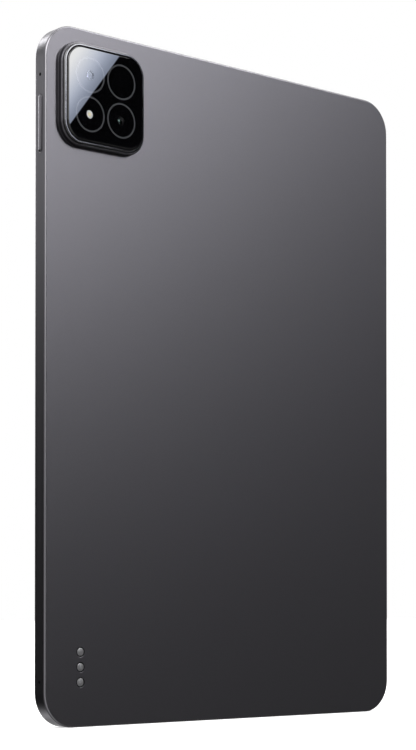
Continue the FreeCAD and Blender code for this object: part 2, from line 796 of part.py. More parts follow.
def keys():
    pieces, low = key_body("X", half_width, volume_key_z, volume_key_length, rock_gap)
    domes = (-volume_dome_spacing / 2, volume_dome_spacing / 2)
    for offset in domes:
        pieces.append(faceted("X", y_at(key_depth), volume_key_z + offset, plunger_radius,
                              low - plunger_height, low))
    nodes["volume_key"] = joined(*pieces)
    press = volume_dome_spacing / 2 * math.sin(math.radians(volume_rock_deg))
    nodes["volume_key_board"] = switch_set("X", cavity_half, (y_at(key_depth), volume_key_z),
                                           volume_key_length, domes,
                                           low - plunger_height - press - dome_clearance)
    bracket = key_bracket("X", cavity_half, volume_key_z, volume_key_length,
                          bracket_ends(volume_key_z, volume_key_length))
    nodes["volume_key_bracket"] = board_with_holes(bracket, bracket_screws[:2])

    pieces, low = key_body("Z", body_length, power_key_x, power_key_length, 0)
    pieces.append(faceted("Z", power_key_x, y_at(key_depth), plunger_radius, low - plunger_height, low))
    nodes["power_key"] = joined(*pieces)
    nodes["power_key_board"] = switch_set("Z", cavity_top, (power_key_x, y_at(key_depth)), power_key_length,
                                          (0,), low - plunger_height - power_travel - dome_clearance)
    bracket = key_bracket("Z", cavity_top, power_key_x, power_key_length,
                          bracket_ends(power_key_x, power_key_length))
    nodes["power_key_bracket"] = board_with_holes(bracket, bracket_screws[2:])


# Small parts along the edges: microphones, accessory contacts and the charging port

def microphones():
    for name, z in (("microphone_lower", microphone_from_bottom),
                    ("microphone_upper", body_length - microphone_from_top)):
        can = prism("X", y_at(middle_depth), z, microphone_width, microphone_length, small_corner,
                    cavity_half - microphone_height, cavity_half, True)
        port = faceted("X", y_at(middle_depth), z, microphone_hole_radius,
                       cavity_half - microphone_height / 2, cavity_half + overcut)
        nodes[name] = can.cut(port)


def contacts():
    plate_half = contact_radius + contact_collar + contact_plate_margin
    reach = (contact_count - 1) * contact_pitch
    plate_back = y_at(floor_depth)
    plate_front = plate_back - contact_plate_thickness
    insulator = prism("Y", contact_x, contact_middle_height, 2 * plate_half, reach + 2 * plate_half,
                      module_corner, plate_front, plate_back, True)
    collars = []
    bores = []
    for number, z in enumerate(contact_heights(), 1):
        collars.append(faceted("Y", contact_x, z, contact_radius + contact_collar, plate_front,
                               back_y - contact_recess, medium_round_sides))
        bores.append(faceted("Y", contact_x, z, contact_radius + contact_clearance, plate_back,
                             back_y + overcut, medium_round_sides))
        bores.append(faceted("Y", contact_x, z, contact_stem_radius + contact_clearance,
                             plate_front - overcut, plate_back + overcut))
        pad = faceted("Y", contact_x, z, contact_radius, plate_back, back_y - contact_recess,
                      medium_round_sides)
        stem = faceted("Y", contact_x, z, contact_stem_radius, plate_front, plate_back)
        nodes["accessory_contact_%d" % number] = joined(pad, stem)
    nodes["contact_insulator"] = insulator.fuse(collars).cut(bores)
    nodes["contact_board"] = prism("Y", contact_x, contact_middle_height, 2 * plate_half,
                                   reach + 2 * plate_half, module_corner,
                                   plate_front - contact_board_thickness, plate_front, True)


def charging_port():
    y = y_at(middle_depth)
    end = port_recess + port_length
    shell = prism("Z", 0, y, port_width, port_height, port_height, port_recess, end)
    inside = prism("Z", 0, y, port_width - 2 * port_sheet, port_height - 2 * port_sheet, port_height,
                   port_recess - overcut, end - port_sheet)
    ears = []
    for side in (-1, 1):
        start = port_width / 2 - port_sheet
        ear = box(start, port_width / 2 + port_ear_reach, y_at(board_front_depth - port_sheet),
                  y_at(board_front_depth), end - port_sheet - port_ear_length, end - port_sheet)
        ears.append(ear if side > 0 else other_side(ear))
    shell = joined(shell, *ears)
    nodes["charging_port_shell"] = shell.cut(inside)
    root = end - port_sheet
    tongue_end = port_recess + port_tongue_recess + port_tongue_length
    tongue = prism("Z", 0, y, port_tongue_width, port_tongue_thickness, small_corner,
                   port_recess + port_tongue_recess, root, True)
    block = prism("Z", 0, y, port_width - 2 * port_sheet - port_clearance,
                  port_height - 2 * port_sheet - port_clearance, port_height, tongue_end, root, True)
    nodes["charging_port_tongue"] = joined(tongue, block)


# Speakers

def speaker():
    """The speaker at the bottom edge on the key side: box, duct nose, stepped membrane and screw ear."""
    x = speaker_from_middle
    nose_z = side_wall + mesh_thickness
    box_z = nose_z + speaker_nose
    front = y_at(inner_front_depth + module_clearance / 2)
    back = y_at(floor_depth)
    case = prism("Y", x, box_z + speaker_depth / 2, speaker_width, speaker_depth, speaker_corner, front, back,
                 True)
    nose_width = grille_holes * grille_pitch + 2 * speaker_nose_margin
    nose_front = y_at(middle_depth) - speaker_duct_height / 2 - speaker_wall
    nose = box(x - nose_width / 2, x + nose_width / 2, nose_front, back, nose_z, box_z + speaker_wall)
    nose = nose.cut(box(x - nose_width, x + nose_width, nose_front - overcut, front, box_z,
                        box_z + speaker_depth))
    duct_half = grille_holes * grille_pitch / 2
    duct = box(x - duct_half, x + duct_half, y_at(middle_depth) - speaker_duct_height / 2,
               y_at(middle_depth) + speaker_duct_height / 2, nose_z - overcut, box_z)
    step_back = front + membrane_step
    inset = 2 * membrane_margin
    step = prism("Y", x, box_z + speaker_depth / 2, speaker_width - inset, speaker_depth - inset,
                 membrane_margin, front - overcut, step_back, True)
    inset += 2 * membrane_roll
    dome = prism("Y", x, box_z + speaker_depth / 2, speaker_width - inset, speaker_depth - inset,
                 membrane_margin, step_back - membrane_crown, step_back + speaker_wall, True)
    ear_x = x - speaker_width / 2
    ear = box(ear_x - speaker_ear, ear_x + speaker_wall, y_at(board_front_depth),
              y_at(board_front_depth + board_thickness), speaker_screw_z - speaker_ear / 2,
              speaker_screw_z + speaker_ear / 2)
    whole = joined(case, nose, ear).cut([duct, step])
    whole = joined(whole, dome)
    return board_with_holes(whole, [(speaker_screw_x, speaker_screw_z, board_front_depth)])


def speakers():
    first = speaker()
    copies = (first, other_side(first), upside(first), upside(other_side(first)))
    for number, shape in enumerate(copies, 1):
        nodes["speaker_%d" % number] = shape
    width = (grille_holes - 1) * grille_pitch + 2 * grille_hole_radius + 2 * mesh_margin
    height = 2 * grille_hole_radius + 2 * mesh_margin
    mesh = prism("Z", speaker_from_middle, y_at(middle_depth), width, height, height, side_wall,
                 side_wall + mesh_thickness, True)
    nodes["speaker_meshes"] = group([mesh, other_side(mesh), upside(mesh), upside(other_side(mesh))])


# Boards, shields and chips

def shield_can(x0, x1, z0, z1, top_depth):
    """A pressed can, open towards the board."""
    can = prism("Y", (x0 + x1) / 2, (z0 + z1) / 2, x1 - x0, z1 - z0, module_corner, y_at(top_depth),
                y_at(board_front_depth), True)
    inside = prism("Y", (x0 + x1) / 2, (z0 + z1) / 2, x1 - x0 - 2 * shield_sheet, z1 - z0 - 2 * shield_sheet,
                   module_corner - shield_sheet / 2, y_at(top_depth + shield_sheet),
                   y_at(board_front_depth) + overcut, True)
    return can.cut(inside)


def boards():
    back = y_at(board_front_depth + board_thickness)
    front = y_at(board_front_depth)
    step_z = body_length - main_board_step_from_top
    top_z = body_length - main_board_top_margin
    strip = box(-board_edge, board_edge, front, back, main_board_bottom, step_z)
    upper = box(-board_edge, main_board_wing, front, back, step_z, top_z)
    tab = box(-main_board_tab_width / 2, main_board_tab_width / 2, front, back, top_z,
              body_length - main_board_tab_from_top)
    nodes["main_board"] = board_with_holes(joined(strip, upper, tab), main_board_screws)

    can_top = inner_front_depth + shield_gap
    can_low = main_board_bottom + connector_length + shield_margin
    can_high = top_z - shield_margin
    half_tab = main_board_tab_width / 2
    can_side = boss_radius - half_tab
    nodes["processor_shield"] = shield_can(can_side - processor_shield_width, can_side, can_low, can_high,
                                           can_top)
    nodes["power_shield"] = shield_can(half_tab, main_board_wing - boss_radius, step_z, can_high, can_top)
    chip_front = y_at(can_top + shield_sheet + chip_gap)
    chips = []
    middle_z = (can_low + can_high) / 2
    processor_x = -half_tab - processor_size
    for x, z, size in ((processor_x, middle_z, processor_size),
                       (processor_x - chip_spacing, middle_z, storage_size),
                       ((half_tab + main_board_wing) / 2, (step_z + can_high) / 2, regulator_size)):
        chips.append(prism("Y", x, z, size, size, small_corner, chip_front, front, True))
    nodes["board_chips"] = group(chips)

    width = sub_board_width
    board = box(-width / 2, width / 2, front, back, sub_board_start, sub_board_start + sub_board_length)
    notch_half = port_width / 2 + port_notch_gap
    notch = box(-notch_half, notch_half, front - overcut, back + overcut, sub_board_start - overcut,
                port_recess + port_length + port_notch_gap)
    nodes["sub_board"] = board_with_holes(board.cut(notch), sub_board_screws)


def batteries():
    width = board_edge - battery_gap - rib_width / 2 - battery_gap
    x = rib_width / 2 + battery_gap + width / 2
    length = battery_top - battery_from_bottom
    front = inner_front_depth + battery_swell_gap
    cell = prism("Y", x, (battery_top + battery_from_bottom) / 2, width, length, battery_corner,
                 y_at(front), y_at(floor_depth), True)
    cell = chamfered(cell, "Y", y_at(front), battery_round)
    board_front = floor_depth - battery_board_thickness
    tabs = []
    for tab_x in battery_tab_places:
        tabs.append(box(tab_x, tab_x + battery_tab_width, y_at(board_front - battery_tab_thickness),
                        y_at(board_front), battery_top - battery_round,
                        battery_top + battery_board_gap + battery_board_depth / 2))
    cell = joined(cell, *tabs)
    nodes["battery_cell_1"] = cell
    nodes["battery_cell_2"] = other_side(cell)
    low = battery_top + battery_board_gap
    nodes["battery_board"] = box(-battery_board_width / 2, battery_board_width / 2, y_at(board_front),
                                 y_at(floor_depth), low, low + battery_board_depth)

    plug_x = battery_tab_places[0] + battery_tab_width + battery_gap
    plug_end = plug_x + battery_plug_width
    flex_back = board_front_depth - battery_flex_rise
    strip = box(plug_x, plug_end, y_at(flex_back - flex_thickness), y_at(flex_back), low,
                main_board_bottom + connector_length)
    lower = box(plug_x, plug_end, y_at(flex_back), y_at(board_front), low, low + battery_board_depth / 2)
    upper = box(plug_x, plug_end, y_at(flex_back), y_at(board_front_depth),
                main_board_bottom + connector_length / 2, main_board_bottom + connector_length)
    nodes["battery_flex"] = joined(strip, lower, upper)

    half = main_flex_width / 2
    start = sub_board_start + sub_board_length - main_flex_overlap
    end = main_board_bottom + connector_length
    strip = box(-half, half, y_at(front - flex_thickness), y_at(front), start, end)
    plugs = [box(-half, half, y_at(front), y_at(board_front_depth), low_z, low_z + connector_length / 2)
             for low_z in (start, end - connector_length / 2)]
    nodes["main_to_sub_flex"] = joined(strip, *plugs)

    bars = []
    magnet_x = cavity_half - magnet_gap - magnet_width
    far_z = volume_bracket_end - magnet_bracket_gap - magnet_length / 2
    camera_end = body_length / 2 + front_camera_board_length - front_camera_length / 2
    near_z = (camera_end + far_z - magnet_length / 2) / 2
    for z in (body_length - far_z, body_length - near_z, near_z, far_z):
        bar = box(magnet_x, magnet_x + magnet_width, y_at(floor_depth - magnet_thickness), y_at(floor_depth),
                  z - magnet_length / 2, z + magnet_length / 2)
        bars += [bar, other_side(bar)]
    nodes["keyboard_magnets"] = group(bars)


def front_camera():
    z = body_length / 2
    x = cavity_half - magnet_gap - front_camera_width / 2
    board_front = floor_depth - front_camera_board_thickness
    board_z = z + front_camera_board_length / 2 - front_camera_length / 2
    nodes["front_camera_board"] = prism("Y", x, board_z, front_camera_width, front_camera_board_length,
                                        small_corner, y_at(board_front), y_at(floor_depth), True)
    body = prism("Y", x, z, front_camera_width, front_camera_length, small_corner,
                 y_at(board_front - front_camera_body), y_at(board_front), True)
    barrel = faceted("Y", x, z, front_lens_radius, y_at(glass_thickness + behind_glass_gap),
                     y_at(board_front - front_camera_body))
    nodes["front_camera"] = joined(body, barrel)
    nodes["light_sensor_pipe"] = faceted("Y", x, z + light_pipe_offset, light_pipe_radius,
                                         y_at(glass_thickness + behind_glass_gap), y_at(board_front))


def antennas():
    """Plastic carriers that follow the housing's round corner on the side away from the keys."""
    inset = side_wall + antenna_gap
    plate = prism("Y", 0, body_length / 2, body_width - 2 * inset, body_length - 2 * inset,
                  corner_radius - inset, y_at(floor_depth - antenna_thickness), y_at(floor_depth))
    corner = box(-half_width, -half_width + antenna_reach_x, front_y, back_y, 0, antenna_reach_z)
    carrier = plate.common(corner)
    nodes["antenna_carriers"] = group([carrier, upside(carrier)])


def screws():
    pieces = []
    for x, z, depth in all_screws:
        head = faceted("Y", x, z, screw_head_radius, y_at(depth - screw_head_height), y_at(depth))
        shank = faceted("Y", x, z, screw_radius, y_at(depth), y_at(floor_depth + screw_floor_bite))
        pieces.append(joined(head, shank))
    nodes["screws"] = group(pieces)


# Build every piece and write it out

nodes["rear_housing"] = rear_housing()
screen()
display_flex()
camera_bump()
cameras()
keys()
microphones()
contacts()
charging_port()
speakers()
boards()
batteries()
front_camera()
antennas()
screws()

os.makedirs("parts", exist_ok=True)
for name, shape in nodes.items():
    shape.exportStep("parts/" + name + ".step")
    print("%-24s %2d solid(s) %10.1f mm3" % (name, len(shape.Solids), shape.Volume))
print(len(nodes), "nodes")
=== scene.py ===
import math

import bmesh
import bpy
import numpy as np
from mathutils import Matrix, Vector


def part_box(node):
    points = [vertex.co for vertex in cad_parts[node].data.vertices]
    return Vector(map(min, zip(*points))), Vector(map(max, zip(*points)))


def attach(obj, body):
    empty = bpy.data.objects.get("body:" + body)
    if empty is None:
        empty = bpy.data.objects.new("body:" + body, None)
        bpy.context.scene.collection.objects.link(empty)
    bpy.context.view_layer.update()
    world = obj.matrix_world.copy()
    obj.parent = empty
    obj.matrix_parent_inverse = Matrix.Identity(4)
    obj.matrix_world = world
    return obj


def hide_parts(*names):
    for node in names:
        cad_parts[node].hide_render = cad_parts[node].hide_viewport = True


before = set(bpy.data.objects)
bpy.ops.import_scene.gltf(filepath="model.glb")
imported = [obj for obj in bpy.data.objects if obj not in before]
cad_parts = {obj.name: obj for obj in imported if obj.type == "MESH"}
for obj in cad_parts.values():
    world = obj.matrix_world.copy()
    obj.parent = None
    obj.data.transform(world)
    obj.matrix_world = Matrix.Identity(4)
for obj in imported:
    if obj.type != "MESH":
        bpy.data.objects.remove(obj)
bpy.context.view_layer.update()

MM = 0.001
TABLET = "tablet"
FOCUS = "focus_lens"


# Places taken from the frame, in metres

def middle(node):
    """The middle of a node's box."""
    low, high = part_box(node)
    return (Vector(low) + Vector(high)) / 2


SCREEN_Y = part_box("cover_glass")[0][1]
CONTACT_RECESS = 0.05 * MM
BACK_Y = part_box("contact_insulator")[1][1] + CONTACT_RECESS
BODY_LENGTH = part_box("rear_housing")[1][2]
CUT_WIDTH = 0.35 * MM
FRONT_CHAMFER = 0.30 * MM
DECO_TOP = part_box("camera_deco_plate")[1][1]
CONTACTS = [middle("accessory_contact_%d" % number) for number in (1, 2, 3)]
CONTACT_X = CONTACTS[0].x
CONTACT_LOW = min(place.z for place in CONTACTS)
CONTACT_PITCH = (max(place.z for place in CONTACTS) - CONTACT_LOW) / 2
PANEL_SEAM = 0.35 * MM
PANEL_CORNER = 2.65 * MM
PANEL_LOW, PANEL_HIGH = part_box("lcd_cell")
PANEL_HALF = PANEL_HIGH[0] - PANEL_SEAM
PANEL_HALF_LENGTH = (PANEL_HIGH[2] - PANEL_LOW[2]) / 2 - PANEL_SEAM
FRONT_LENS = middle("front_camera")
FLASH = middle("flash_lens")
CLEAR_WINDOWS = [
    ("main_camera_barrel", 1.50 * MM),
    ("second_camera_lens", 1.60 * MM),
    ("flash_lens", 1.58 * MM),
    ("lens_ring_4", 0.0),
]
CLEAR_SOFT = 0.02 * MM
RING_MIDDLE = 6.13 * MM
RING_HALF = 0.24 * MM
RING_SOFT = 0.16 * MM


# Meshes from grids of points

def mesh_piece(name, points, faces, sharp_degrees=32):
    """A piece from points and faces, with doubles merged, faces outward and edges sharp past an angle."""
    mesh = bpy.data.meshes.new(name)
    mesh.from_pydata(points.reshape(-1, 3).tolist(), [], faces.tolist())
    shape = bmesh.new()
    shape.from_mesh(mesh)
    bmesh.ops.remove_doubles(shape, verts=shape.verts, dist=1e-7)
    bmesh.ops.recalc_face_normals(shape, faces=shape.faces)
    shape.to_mesh(mesh)
    shape.free()
    mesh.shade_smooth()
    mesh.set_sharp_from_angle(angle=math.radians(sharp_degrees))
    piece = bpy.data.objects.new(name, mesh)
    bpy.context.scene.collection.objects.link(piece)
    return piece


def grid_faces(rows, columns, wrap_rows=False, wrap_columns=False):
    """Corner numbers of the four-sided cells of a grid, closed round in either direction if asked."""
    i = np.arange(rows if wrap_rows else rows - 1)[:, None]
    j = np.arange(columns if wrap_columns else columns - 1)[None, :]
    following = (i + 1) % rows
    beside = (j + 1) % columns
    cells = [i * columns + j, i * columns + beside, following * columns + beside, following * columns + j]
    return np.stack(np.broadcast_arrays(*cells), axis=-1).reshape(-1, 4)


def turned(name, profile, place, sides=96, closed=True, axis=1):
    """A piece turned about a line along Y (axis 1) or X (axis 0), through place (first, z).

    The profile is a list of (radius, level on the axis). Point (i, j) of the grid lies at profile point i,
    turned by j / sides of a whole turn:
    first = place first + radius cos(turn), z = place z + radius sin(turn).
    """
    radius, level = np.array(profile).T
    turn = np.linspace(0, 2 * math.pi, sides, endpoint=False)
    points = np.empty((len(radius), sides, 3))
    points[..., 1 - axis] = place[0] + radius[:, None] * np.cos(turn)
    points[..., axis] = level[:, None]
    points[..., 2] = place[1] + radius[:, None] * np.sin(turn)
    return mesh_piece(name, points, grid_faces(len(radius), sides, closed, True))


def rounded_profile(corners, size, steps=3):
    """A closed profile with each corner cut by a quarter bend of a given size.

    Between the points that lie at size before and after a corner, the bend is the curve
    (1 - t)^2 before + 2 t (1 - t) corner + t^2 after.
    """
    corners = np.array(corners, dtype=float)
    t = np.linspace(0, 1, steps + 1)[:, None]
    bends = []
    for before, corner, after in zip(np.roll(corners, 1, axis=0), corners, np.roll(corners, -1, axis=0)):
        start = corner + (before - corner) * min(size / np.linalg.norm(before - corner), 0.5)
        end = corner + (after - corner) * min(size / np.linalg.norm(after - corner), 0.5)
        bends.append((1 - t) ** 2 * start + 2 * t * (1 - t) * corner + t ** 2 * end)
    return np.concatenate(bends)


def ring_profile(inner, outer, low, high, size):
    """The section of a flat ring with eased corners."""
    return rounded_profile([(inner, low), (outer, low), (outer, high), (inner, high)], size)


def bar(name, centre, size, ease):
    """A bar with eased ends and long edges.

    Each section is a superellipse of power 6 in X and Y. Along Z, the section shrinks by the ease at both
    ends on a quarter circle.
    """
    turn = np.linspace(0, 2 * math.pi, 32, endpoint=False)
    c, s = np.cos(turn), np.sin(turn)
    reach = (np.abs(c) ** 6 + np.abs(s) ** 6) ** (-1 / 6)
    bend = np.linspace(0, math.pi / 2, 4)
    inward = ease * (1 - np.sin(bend))
    onward = ease * (1 - np.cos(bend))
    drop = np.concatenate([inward, inward[::-1]])
    level = np.concatenate([-size[2] / 2 + onward, size[2] / 2 - onward[::-1]])
    drop = np.concatenate([[min(size[0], size[1]) / 2], drop, [min(size[0], size[1]) / 2]])
    level = np.concatenate([[level[0]], level, [level[-1]]])
    points = np.empty((len(level), len(turn), 3))
    points[..., 0] = centre[0] + (size[0] / 2 - drop)[:, None] * (c * reach)
    points[..., 1] = centre[1] + (size[1] / 2 - drop)[:, None] * (s * reach)
    points[..., 2] = centre[2] + level[:, None]
    faces = grid_faces(len(level), len(turn), False, True)
    return mesh_piece(name, points, faces)


def merged(pieces, name):
    """One piece from several that have one finish."""
    with bpy.context.temp_override(active_object=pieces[0], selected_editable_objects=pieces,
                                   selected_objects=pieces, object=pieces[0]):
        bpy.ops.object.join()
    pieces[0].name = name
    return pieces[0]


# Shader maths

class Value:
    """A socket that varies over a surface. An operator on it adds the Math node that works it out."""

    def __init__(self, paint, socket):
        self.paint = paint
        self.socket = socket

    def maths(self, operation, *terms):
        return self.paint.node("ShaderNodeMath", {"operation": operation}, dict(enumerate(terms)))

    def __add__(self, other):
        return self.maths("ADD", self, other)

    __radd__ = __add__

    def __sub__(self, other):
        return self.maths("SUBTRACT", self, other)

    def __rsub__(self, other):
        return self.maths("SUBTRACT", other, self)

    def __mul__(self, other):
        return self.maths("MULTIPLY", self, other)

    __rmul__ = __mul__

    def __truediv__(self, other):
        return self.maths("DIVIDE", self, other)

    def __gt__(self, other):
        return self.maths("GREATER_THAN", self, other)

    def __lt__(self, other):
        return self.maths("LESS_THAN", self, other)

    def __pow__(self, other):
        return self.maths("POWER", self, other)

    def __abs__(self):
        return self.maths("ABSOLUTE", self)

    def at_least(self, other):
        return self.maths("MAXIMUM", self, other)

    def at_most(self, other):
        return self.maths("MINIMUM", self, other)

    def root(self):
        return self.maths("SQRT", self)

    def wave(self):
        return self.maths("SINE", self)

    def steps(self, low, high):
        """0 below low, 1 above high, and an eased rise between them."""
        return self.paint.node("ShaderNodeMapRange", {"interpolation_type": "SMOOTHSTEP"},
                               {"Value": self, "From Min": low, "From Max": high})


class Paint:
    """A material or world and its nodes."""

    def __init__(self, tree):
        self.tree = tree
        self.tree.nodes.clear()

    def node(self, kind, settings=None, inputs=None, out=0):
        """Any node: its settings first, then the values or links of its sockets, by name or number."""
        made = self.tree.nodes.new(kind)
        for key, value in (settings or {}).items():
            if key == "stops":
                ramp = made.color_ramp.elements
                while len(ramp) < len(value):
                    ramp.new(0.5)
                for element, (position, colour) in zip(ramp, value):
                    element.position = position
                    element.color = (*colour, 1)
            else:
                setattr(made, key, value)
        for key, value in (inputs or {}).items():
            if isinstance(value, Value):
                self.tree.links.new(value.socket, made.inputs[key])
            else:
                made.inputs[key].default_value = value
        return Value(self, made.outputs[out]) if made.outputs else None

    def place(self, kind="Object"):
        """X, Y and Z of a point of the surface."""
        where = self.node("ShaderNodeTexCoord", out=kind)
        return where, [self.node("ShaderNodeSeparateXYZ", inputs={0: where}, out=axis) for axis in range(3)]

    def noise(self, where, scale, detail=2.0, roughness=0.5, stretch=(1, 1, 1)):
        if stretch != (1, 1, 1):
            where = self.node("ShaderNodeMapping", inputs={"Vector": where, "Scale": stretch})
        return self.node("ShaderNodeTexNoise", inputs={"Vector": where, "Scale": scale, "Detail": detail,
                                                       "Roughness": roughness})

    def mix(self, factor, first, second):
        """From the first colour at 0 to the second at 1."""
        sides = [value if isinstance(value, Value) else (*value, 1) for value in (first, second)]
        return self.node("ShaderNodeMix", {"data_type": "RGBA"}, {0: factor, 6: sides[0], 7: sides[1]}, out=2)

    def bump(self, height, distance, strength=1.0, over=None):
        inputs = {"Height": height, "Distance": distance, "Strength": strength}
        if over is not None:
            inputs["Normal"] = over
        return self.node("ShaderNodeBump", inputs=inputs)


def material(name, build):
    """A named material whose build function gets the paint and returns the sockets of its shader."""
    made = bpy.data.materials.new(name)
    made.use_nodes = True
    paint = Paint(made.node_tree)
    surface = paint.node("ShaderNodeBsdfPrincipled", inputs={
        key: (*value, 1) if isinstance(value, tuple) else value for key, value in build(paint).items()})
    paint.node("ShaderNodeOutputMaterial", inputs={"Surface": surface})
    return made


# Metals

GRAPHITE = (0.128, 0.124, 0.136)
GRAPHITE_BRIGHT = (0.330, 0.322, 0.345)
BLAST_ROUGHNESS = 0.32
EDGE_ROUNDING = 0.45 * MM


def shade(colour, part):
    """A colour made darker or lighter."""
    return tuple(part * c for c in colour)


def blasted(paint, chamfers=True):
    """Bead-blasted and anodised metal: fine pits, with the cut edges left smooth and brighter.

    The shading rounds the housing's edges. The keys have no cut edges and are a little lighter.
    """
    where, (x, y, z) = paint.place()
    pits = paint.noise(where, 5200, 3, 0.6)
    grey = paint.mix(pits.steps(0.3, 0.7), shade(GRAPHITE, 0.95), shade(GRAPHITE, 1.05))
    rough = BLAST_ROUGHNESS + (pits - 0.5) * 0.06
    if not chamfers:
        lighter = paint.mix(pits.steps(0.3, 0.7), shade(GRAPHITE, 1.25), shade(GRAPHITE, 1.4))
        return {"Base Color": lighter, "Metallic": 1.0, "Roughness": rough - 0.08,
                "Normal": paint.bump(pits, 0.004 * MM)}
    back = (y > BACK_Y - CUT_WIDTH) * (y < BACK_Y - 0.004 * MM)
    front = y < SCREEN_Y + FRONT_CHAMFER - 0.01 * MM
    cut = back.at_least(front)
    lines = paint.noise(where, 2600, 2, 0.5, (0.04, 1, 0.04))
    rounded = paint.node("ShaderNodeBevel", {"samples": 6}, {"Radius": EDGE_ROUNDING})
    return {
        "Base Color": paint.mix(cut, grey, GRAPHITE_BRIGHT),
        "Metallic": 1.0,
        "Roughness": rough * (1 - cut) + (0.20 + (lines - 0.5) * 0.10) * cut,
        "Normal": paint.bump(pits * (1 - cut) + lines * cut, 0.006 * MM, over=rounded),
    }


def polished(paint):
    """The trim ring: cut and polished, with the finest turning lines along it."""
    where, (x, y, z) = paint.place()
    lines = paint.noise(where, 900, 2, 0.5, (0.15, 8, 0.15))
    haze = paint.noise(where, 160, 3, 0.6)
    return {
        "Base Color": paint.mix(haze.steps(0.35, 0.65), (0.085, 0.084, 0.088), (0.105, 0.104, 0.108)),
        "Metallic": 1.0,
        "Roughness": 0.10 + (lines - 0.5) * 0.05,
        "Normal": paint.bump(lines, 0.003 * MM),
    }


def ring_metal(paint):
    """The thin rings under the camera glass."""
    where, (x, y, z) = paint.place()
    grain = paint.noise(where, 3000, 2, 0.5)
    return {
        "Base Color": paint.mix(grain.steps(0.3, 0.7), (0.20, 0.20, 0.21), (0.30, 0.30, 0.31)),
        "Metallic": 1.0,
        "Roughness": 0.30 + (grain - 0.5) * 0.12,
        "Normal": paint.bump(grain, 0.002 * MM),
    }


def plated(bright, dull, rough=0.28):
    """Plated or bright sheet metal with a rolled grain and faint blotches."""
    def build(paint):
        where, _ = paint.place()
        grain = paint.noise(where, 1400, 3, 0.6, (1, 1, 0.06))
        blotch = paint.noise(where, 120, 3, 0.6)
        return {
            "Base Color": paint.mix(blotch.steps(0.35, 0.65), dull, bright),
            "Metallic": 1.0,
            "Roughness": rough + (grain - 0.5) * 0.14,
            "Normal": paint.bump(grain, 0.004 * MM),
        }
    return build


def contact_face(paint):
    """A contact's face: plated metal, turned in fine rings about its own middle."""
    where, (x, y, z) = paint.place()
    pitch = CONTACT_PITCH
    along = (z - CONTACT_LOW + pitch / 2) / pitch
    local = (along - along.maths("FLOOR", along) - 0.5) * pitch
    radius = ((x - CONTACT_X) ** 2 + local ** 2).root()
    rings = (radius * (2 * math.pi / (0.11 * MM))).wave() * 0.5 + 0.5
    grain = paint.noise(where, 2400, 2, 0.5)
    return {
        "Base Color": paint.mix(grain.steps(0.3, 0.7), (0.345, 0.342, 0.352), (0.405, 0.402, 0.412)),
        "Metallic": 1.0,
        "Roughness": 0.36 + rings * 0.06 + (grain - 0.5) * 0.1,
        "Normal": paint.bump(rings * 0.6 + grain * 0.4, 0.003 * MM),
    }


# Glass and lenses

POLISH = 0.006


def camera_glass():
    """The cover over the lenses: printed black, with a grey line over each ring, and clear in its windows."""
    made = bpy.data.materials.new("camera glass")
    made.use_nodes = True
    paint = Paint(made.node_tree)
    where, (x, y, z) = paint.place()
    clear = lines = None
    for node, window in CLEAR_WINDOWS:
        place = middle(node)
        radius = ((x - place.x) ** 2 + (z - place.z) ** 2).root()
        opening = 1 - radius.steps(window, window + CLEAR_SOFT)
        line = 1 - abs(radius - RING_MIDDLE).steps(RING_HALF, RING_HALF + RING_SOFT)
        clear = opening if clear is None else clear.at_least(opening)
        lines = line if lines is None else lines.at_least(line)
    grain = paint.noise(where, 900, 3, 0.6)
    ink = paint.mix(grain.steps(0.3, 0.7), (0.0008, 0.0008, 0.0010), (0.0014, 0.0014, 0.0018))
    ink = paint.mix(lines, ink, (0.044, 0.045, 0.049))
    printed = paint.node("ShaderNodeBsdfPrincipled", inputs={
        "Base Color": ink,
        "Roughness": grain * POLISH,
        "IOR": 1.75,
    })
    glass = paint.node("ShaderNodeBsdfPrincipled", inputs={
        "Base Color": (0.97, 0.98, 1.0, 1),
        "Roughness": grain * POLISH,
        "Transmission Weight": 1.0,
        "IOR": 1.5,
    })
    surface = paint.node("ShaderNodeMixShader", inputs={0: clear, 1: printed, 2: glass})
    paint.node("ShaderNodeOutputMaterial", inputs={"Surface": surface})
    return made


def lens_glass(tint):
    """A coated lens over a dark inside. The coating tints what the lens reflects."""
    def build(paint):
        where, _ = paint.place()
        grain = paint.noise(where, 700, 2, 0.5)
        return {
            "Base Color": paint.mix(grain.steps(0.3, 0.7), (0.004, 0.004, 0.008), (0.008, 0.007, 0.014)),
            "Roughness": 0.02 + grain * 0.02,
            "Specular IOR Level": 1.0,
            "Specular Tint": tint,
            "Coat Weight": 0.5,
            "Coat Roughness": 0.03,
        }
    return build


def screen_glass(paint):
    """The screen, switched off: a black printed border, the lighter panel, the front camera's window."""
    where, (x, y, z) = paint.place()
    across = (abs(x) - (PANEL_HALF - PANEL_CORNER)).at_least(0)
    along = (abs(z - BODY_LENGTH / 2) - (PANEL_HALF_LENGTH - PANEL_CORNER)).at_least(0)
    outside = (across * across + along * along).root()
    panel = 1 - outside.steps(PANEL_CORNER - 0.05 * MM, PANEL_CORNER + 0.05 * MM)
    from_lens = ((x - FRONT_LENS.x) ** 2 + (z - FRONT_LENS.z) ** 2).root()
    window = 1 - from_lens.steps(1.42 * MM, 1.50 * MM)
    ring = from_lens.steps(0.70 * MM, 0.74 * MM) - from_lens.steps(0.92 * MM, 0.96 * MM)
    cells = paint.noise(where, 9000, 1, 0.5)
    black = paint.mix(panel, (0.0035, 0.0035, 0.0038), (0.0085, 0.0088, 0.0105))
    glass = paint.mix(window, black, (0.006, 0.008, 0.016))
    return {
        "Base Color": paint.mix(ring * 0.8, glass, (0.030, 0.034, 0.050)),
        "Roughness": 0.035 + panel * 0.015 + (cells - 0.5) * 0.01,
        "Coat Weight": 0.6,
        "Coat Roughness": 0.02,
        "Specular IOR Level": 0.55,
        "Normal": paint.bump(paint.noise(where, 25, 2, 0.4), 0.0015 * MM),
    }


